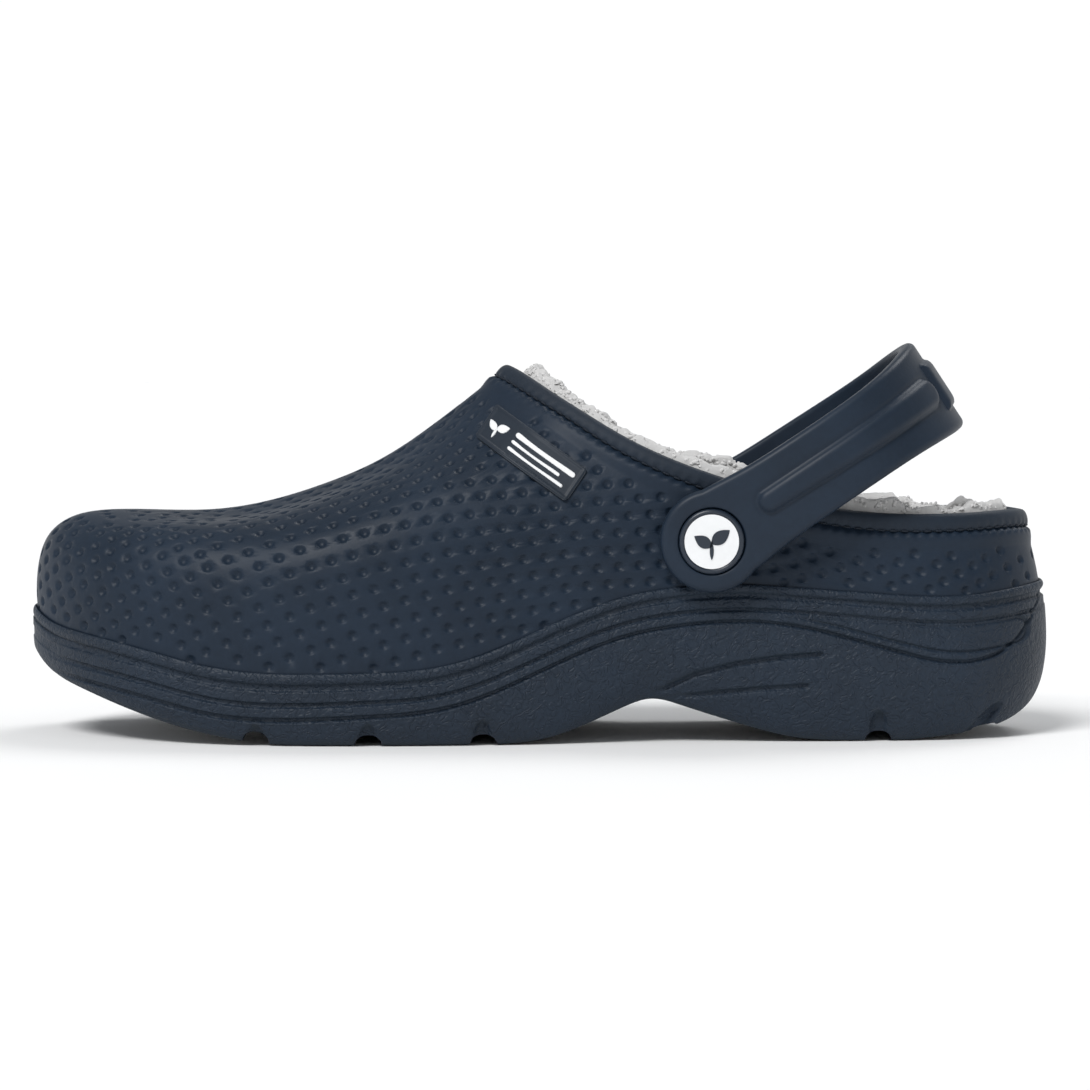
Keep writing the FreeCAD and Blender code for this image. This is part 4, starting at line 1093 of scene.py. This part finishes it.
def lathe(name, profile, side, y_face, look, body, replaces, segments=128):
    """A round piece on the strap's axis: profile rows are (radius, height out from y_face)."""
    sign = (-1, 1)[side]
    angle = np.linspace(0, 2 * np.pi, segments, endpoint=False)
    rings = []
    for radius, height in profile:
        y = np.full(segments, y_face + sign * height)
        rings.append(np.stack([PIVOT_X + radius * np.cos(angle), y, PIVOT_Z + radius * np.sin(angle)], -1))
    points, quads = ring(rings)
    piece = build(name, points, quads, look, body, replaces)
    fix_normals(piece)
    return piece


def make_rivets():
    for side, word in enumerate(("outer", "inner")):
        sign = (-1, 1)[side]
        eye_outer = EYE_FACE[side] + sign * EYE_THICK
        boss_outer = EYE_FACE[side] - sign * WASHER
        reach = abs(eye_outer - (boss_outer - sign * 6.8))
        body = f"rivet_{word}"
        head = 0.4 + GAP
        profile = [(1.95, -reach), (POST_R - 0.3, -reach), (POST_R, -reach + 0.3), (POST_R, -2.2),
                   (HEAD_R - 0.3, -2.2), (HEAD_R, -1.9), (HEAD_R, -0.35), (HEAD_R - 0.1, 0.0),
                   (HEAD_R - 0.35, head - 0.22),
                   (HEAD_R - 0.7, head - 0.05), (HEAD_R - 0.95, head - 0.05), (HEAD_R - 1.15, head - 0.16),
                   (HEAD_R - 1.25, head - 0.36), (3.0, head - 0.36), (0.02, head - 0.36),
                   (0.02, -1.4), (1.95, -1.4)]
        lathe(f"rivet_head_{word}", profile, side, eye_outer, rivet_look, body,
              [f"rivet_button_{word}"])
        face = eye_outer + sign * (head - 0.36)
        disc_r = 7.0
        angle = np.linspace(0, 2 * np.pi, 96, endpoint=False)
        rim = np.stack([disc_r * np.cos(angle), disc_r * np.sin(angle)], -1)
        shapes = leaf_shapes(5.2, (0.0, 0.2))
        flip = -sign

        def lift(p, h, face=face, sign=sign, flip=flip):
            return np.stack([PIVOT_X + flip * p[:, 0], face + sign * h, PIVOT_Z + p[:, 1]], -1)

        disc = prints([rim], lift, 0.0, 0.16, f"rivet_disc_{word}", body)
        fix_normals(disc)
        disc.data.shade_flat()
        sprout = prints(shapes, lift, 0.16, 0.14, f"rivet_sprout_{word}", body)
        sprout.data.materials[0] = rivet_look
        fix_normals(sprout)
        sprout.data.shade_flat()


# ---------------------------------------------------------------- fleece and insole
def shag(points, seed):
    """Height of the pile above its backing, in lumps with fine fluff."""
    lumps = noise3(points, 5.2, seed) * 0.5 + noise3(points, 2.6, seed + 1) * 0.35
    fine = noise3(points, 1.3, seed + 2) * 0.22
    return np.clip(lumps + fine + 0.1, -0.8, 1.1)


def edge_tufts(u):
    """How far the fleece stands above the collar, in torn lumps."""
    p = wall_point(u, 1.0)
    big = noise3(p, 17, 31)
    middle = noise3(p, 7, 32)
    fine = noise3(p, 2.4, 33)
    height = 2.7 + 2.2 * big + 1.4 * middle + 0.7 * fine
    return np.clip(height, 0.3, 5.9)


def make_linings():
    outside, inside = -(SHELL + BIND + 2 * GAP), -(SHELL + BIND + 2 * GAP) - LINING
    columns = 900
    rows = 110
    u = np.arange(columns) / columns
    seam = PIVOT_X - 17
    rise = edge_tufts(u)
    top = v_at_depth(u, -rise)
    x, _ = edge_of_sole(u, LIP)
    inset = LIP - inside
    sections = []
    ex, ey = edge_of_sole(u, LIP - outside)
    drop = sole_line(x) - cup_floor(x) - 0.2
    sections.append(np.stack([ex, ey, sole_line(x) - drop], -1))
    for t in np.linspace(0, 1, 24):
        sections.append(wall(u, t * top, outside))
    crown = len(sections)
    for k in range(1, 6):
        angle = math.pi * k / 6
        mid, half = (outside + inside) / 2, LINING / 2
        v = top + (v_at_depth(u, -rise - 1.0) - top) * math.sin(angle)
        sections.append(wall(u, v, mid + half * math.cos(angle)))
    for t in np.linspace(1, 0, rows):
        p = wall(u, t * top, inside)
        n = wall(u, t * top, inside - 1.0) - p
        sections.append(p + n * (1.3 * shag(p, 41))[:, None])
    ex, ey = edge_of_sole(u, inset)
    for share in (0.35, 0.7, 1.0):
        sections.append(np.stack([ex, ey, sole_line(x) - drop * share], -1))
    points = np.stack(sections)
    jitter = noise3(points[crown - 3:crown + 6], 2.2, 51)[..., None] * np.array([0.5, 0.5, 0.7])
    points[crown - 3:crown + 6] += jitter
    total = len(points)
    flat = points.reshape(-1, 3)
    quads = np.concatenate([grid_quads(total, columns),
                            np.stack([(total - 1) * columns + np.arange(columns),
                                      (total - 1) * columns + (np.arange(columns) + 1) % columns,
                                      (np.arange(columns) + 1) % columns, np.arange(columns)], -1)])
    middle = flat[quads].mean(1)[:, 0]
    pieces = []
    for name, node, choose in (("fleece_vamp", "vamp_lining", middle < seam),
                               ("fleece_quarter", "quarter_lining", middle >= seam)):
        own = quads[choose]
        used = np.unique(own)
        remap = np.zeros(len(flat), np.int64)
        remap[used] = np.arange(len(used))
        piece = build(name, flat[used], remap[own], fleece_look, "clog", [node])
        fix_normals(piece, close=True)
        bpy.context.view_layer.update()
        pieces.append(piece)
    return pieces


def locks(name, roots, ways, lengths, seed):
    """Short curled locks of fibre: tapered bent tubes standing on roots."""
    rng = np.random.default_rng(seed)
    points, quads, caps, start = [], [], [], 0
    for root, way, length in zip(roots, ways, lengths):
        side = unit(np.cross(way, rng.normal(size=3)))
        other = np.cross(way, side)
        t = np.linspace(0, 1, 6)[:, None]
        turn = 3.8 * t + rng.uniform(0, 6)
        curl = (side * np.cos(turn) + other * np.sin(turn)) * (0.28 * length * t)
        centre = root + way * length * t * (1 - 0.25 * t) + curl
        radius = 0.62 * np.sqrt(1 - 0.97 * t[:, 0] ** 2)
        p, q = tube(centre, radius, 6)
        points.append(p)
        quads.append(q + start)
        caps.append(np.array([start + len(p) - 6 + np.arange(6)]))
        start += len(p)
    piece = build(name, np.concatenate(points), quads + caps, fibre_look, "clog")
    fix_normals(piece)
    return piece


def make_locks():
    rng = np.random.default_rng(5)
    outside, inside = -(SHELL + BIND + 2 * GAP), -(SHELL + BIND + 2 * GAP) - LINING
    count = 2600
    u = rng.uniform(0, 1, count)
    rise = edge_tufts(u)
    share = rng.uniform(0.0, 1.0, count)
    v = v_at_depth(u, -(rise * rng.uniform(0.3, 1.0, count)))
    out = outside + (inside - outside) * share
    roots = wall(u, v, out)
    up = unit(wall(u, v + 0.05, out) - roots)
    inward = unit(wall(u, v, out - 1) - roots)
    ways = unit(up + inward * (share * 1.3)[:, None] + rng.normal(size=(count, 3)) * 0.35)
    lengths = rng.uniform(0.8, 1.7, count)
    front = roots[:, 0] < PIVOT_X - 17
    vamp = locks("fleece_tufts_vamp", roots[front], ways[front], lengths[front], 6)
    quarter = locks("fleece_tufts_quarter", roots[~front], ways[~front], lengths[~front], 7)
    return vamp, quarter


def pad_mesh(name, low, high, look, node, fluff):
    """A closed crowned pad on the cup's floor between two heights above it."""
    inset = LIP + SHELL + BIND + 2 * GAP + LINING + 2 * GAP
    count, across = ((420, 110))
    outer_u, inner_u = sole_columns(count)
    lx, ly = edge_of_sole(outer_u, inset)
    rx, ry = edge_of_sole(inner_u, inset)
    t = np.linspace(0, 1, across + 1)
    t = 0.5 - 0.5 * np.cos(np.pi * t)
    x = lx[:, None] + (rx - lx)[:, None] * t
    y = ly[:, None] + (ry - ly)[:, None] * t
    far = np.minimum(np.abs(y - ly[:, None]), np.abs(y - ry[:, None]))
    ends = np.minimum(x - lx.min(), lx.max() - x)
    crown = dome(np.minimum(far, ends), 2.2)
    base = cup_floor(x)
    top = base + low + (high - low) * crown
    flat = np.stack([x, y, top], -1)
    if fluff:
        flat[..., 2] += 1.1 * shag(flat, 61) * crown
        flat[..., 0] += 0.5 * noise3(flat, 1.8, 65) * crown
    bottom = np.stack([x, y, base + low], -1)
    n = flat.shape[0] * flat.shape[1]
    quads = grid_quads(flat.shape[0], flat.shape[1], wrap=False)
    points = np.concatenate([flat.reshape(-1, 3), bottom.reshape(-1, 3)])
    piece = build(name, points, [quads, quads[:, ::-1] + n], look, "clog", [node])
    fix_normals(piece)
    return piece


# ---------------------------------------------------------------- camera, light, floor
def look_at(obj, target):
    obj.rotation_euler = (Vector(target) - obj.location).to_track_quat("-Z", "Y").to_euler()


def make_stage():
    camera = bpy.data.objects.new("camera", bpy.data.cameras.new("camera"))
    bpy.context.scene.collection.objects.link(camera)
    middle = (CAD_BOX[0] + CAD_BOX[1]) / 2
    camera.location = (middle.x + 0.0016, -1.2, 0.111)
    look_at(camera, (middle.x + 0.0016, 0, 0.0491))
    camera.data.lens = 149.06
    camera.data.sensor_width = 36
    bpy.context.scene.camera = camera
    plane = bpy.data.meshes.new("floor")
    r = 6.0
    plane.from_pydata([(-r, -r, 0), (r, -r, 0), (r, r, 0), (-r, r, 0)], [], [(0, 1, 2, 3)])
    floor = bpy.data.objects.new("floor", plane)
    floor.location.z = -0.0003
    bpy.context.scene.collection.objects.link(floor)
    look = bpy.data.materials.new("floor")
    look.use_nodes = True
    shader = look.node_tree.nodes["Principled BSDF"]
    shader.inputs["Base Color"].default_value = (0.9, 0.9, 0.9, 1)
    shader.inputs["Roughness"].default_value = 0.9
    shader.inputs["Specular IOR Level"].default_value = 0.1
    plane.materials.append(look)
    bpy.context.scene.view_settings.view_transform = "Standard"
    world = bpy.data.worlds.new("studio")
    bpy.context.scene.world = world
    world.use_nodes = True
    nodes, links = world.node_tree.nodes, world.node_tree.links
    way = nodes.new("ShaderNodeTexCoord")
    split = nodes.new("ShaderNodeSeparateXYZ")
    links.new(way.outputs["Generated"], split.inputs[0])
    ramp = nodes.new("ShaderNodeValToRGB")
    ramp.color_ramp.elements[0].position = 0.16
    ramp.color_ramp.elements[0].color = (1.02, 1.02, 1.02, 1)
    ramp.color_ramp.elements[1].position = 0.42
    ramp.color_ramp.elements[1].color = (0.30, 0.31, 0.32, 1)
    links.new(split.outputs["Z"], ramp.inputs[0])
    links.new(ramp.outputs[0], nodes["Background"].inputs["Color"])
    for name, place, angle, power in (
        ("key", (-0.45, -0.75, 1.1), 22, 2.3),
        ("back", (0.4, 0.6, 1.0), 30, 0.9),
    ):
        lamp = bpy.data.lights.new(name, "SUN")
        lamp.energy, lamp.angle = power, math.radians(angle)
        light = bpy.data.objects.new(name, lamp)
        light.location = place
        bpy.context.scene.collection.objects.link(light)
        look_at(light, (0, 0, 0.05))


make_stage()
make_sole()
make_upper()
make_binding()
make_stitches()
make_label()
make_strap()
make_rivets()
vamp, quarter = make_linings()
tufts = make_locks()
pad_mesh("insole_foam_pad", 0.15, FOAM - 0.1, foam_look, "insole_foam", False)
pad_mesh("footbed_pile", FOAM + 0.15, FOAM + PILE - 0.6, fleece_look, "footbed_fleece", True)
for name in ("rivet_cap_outer", "rivet_cap_inner"):
    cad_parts[name].data.materials.clear()
    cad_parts[name].data.materials.append(rivet_look)
for name in ("strap_washer_outer", "strap_washer_inner"):
    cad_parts[name].data.materials.clear()
    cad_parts[name].data.materials.append(washer_look)
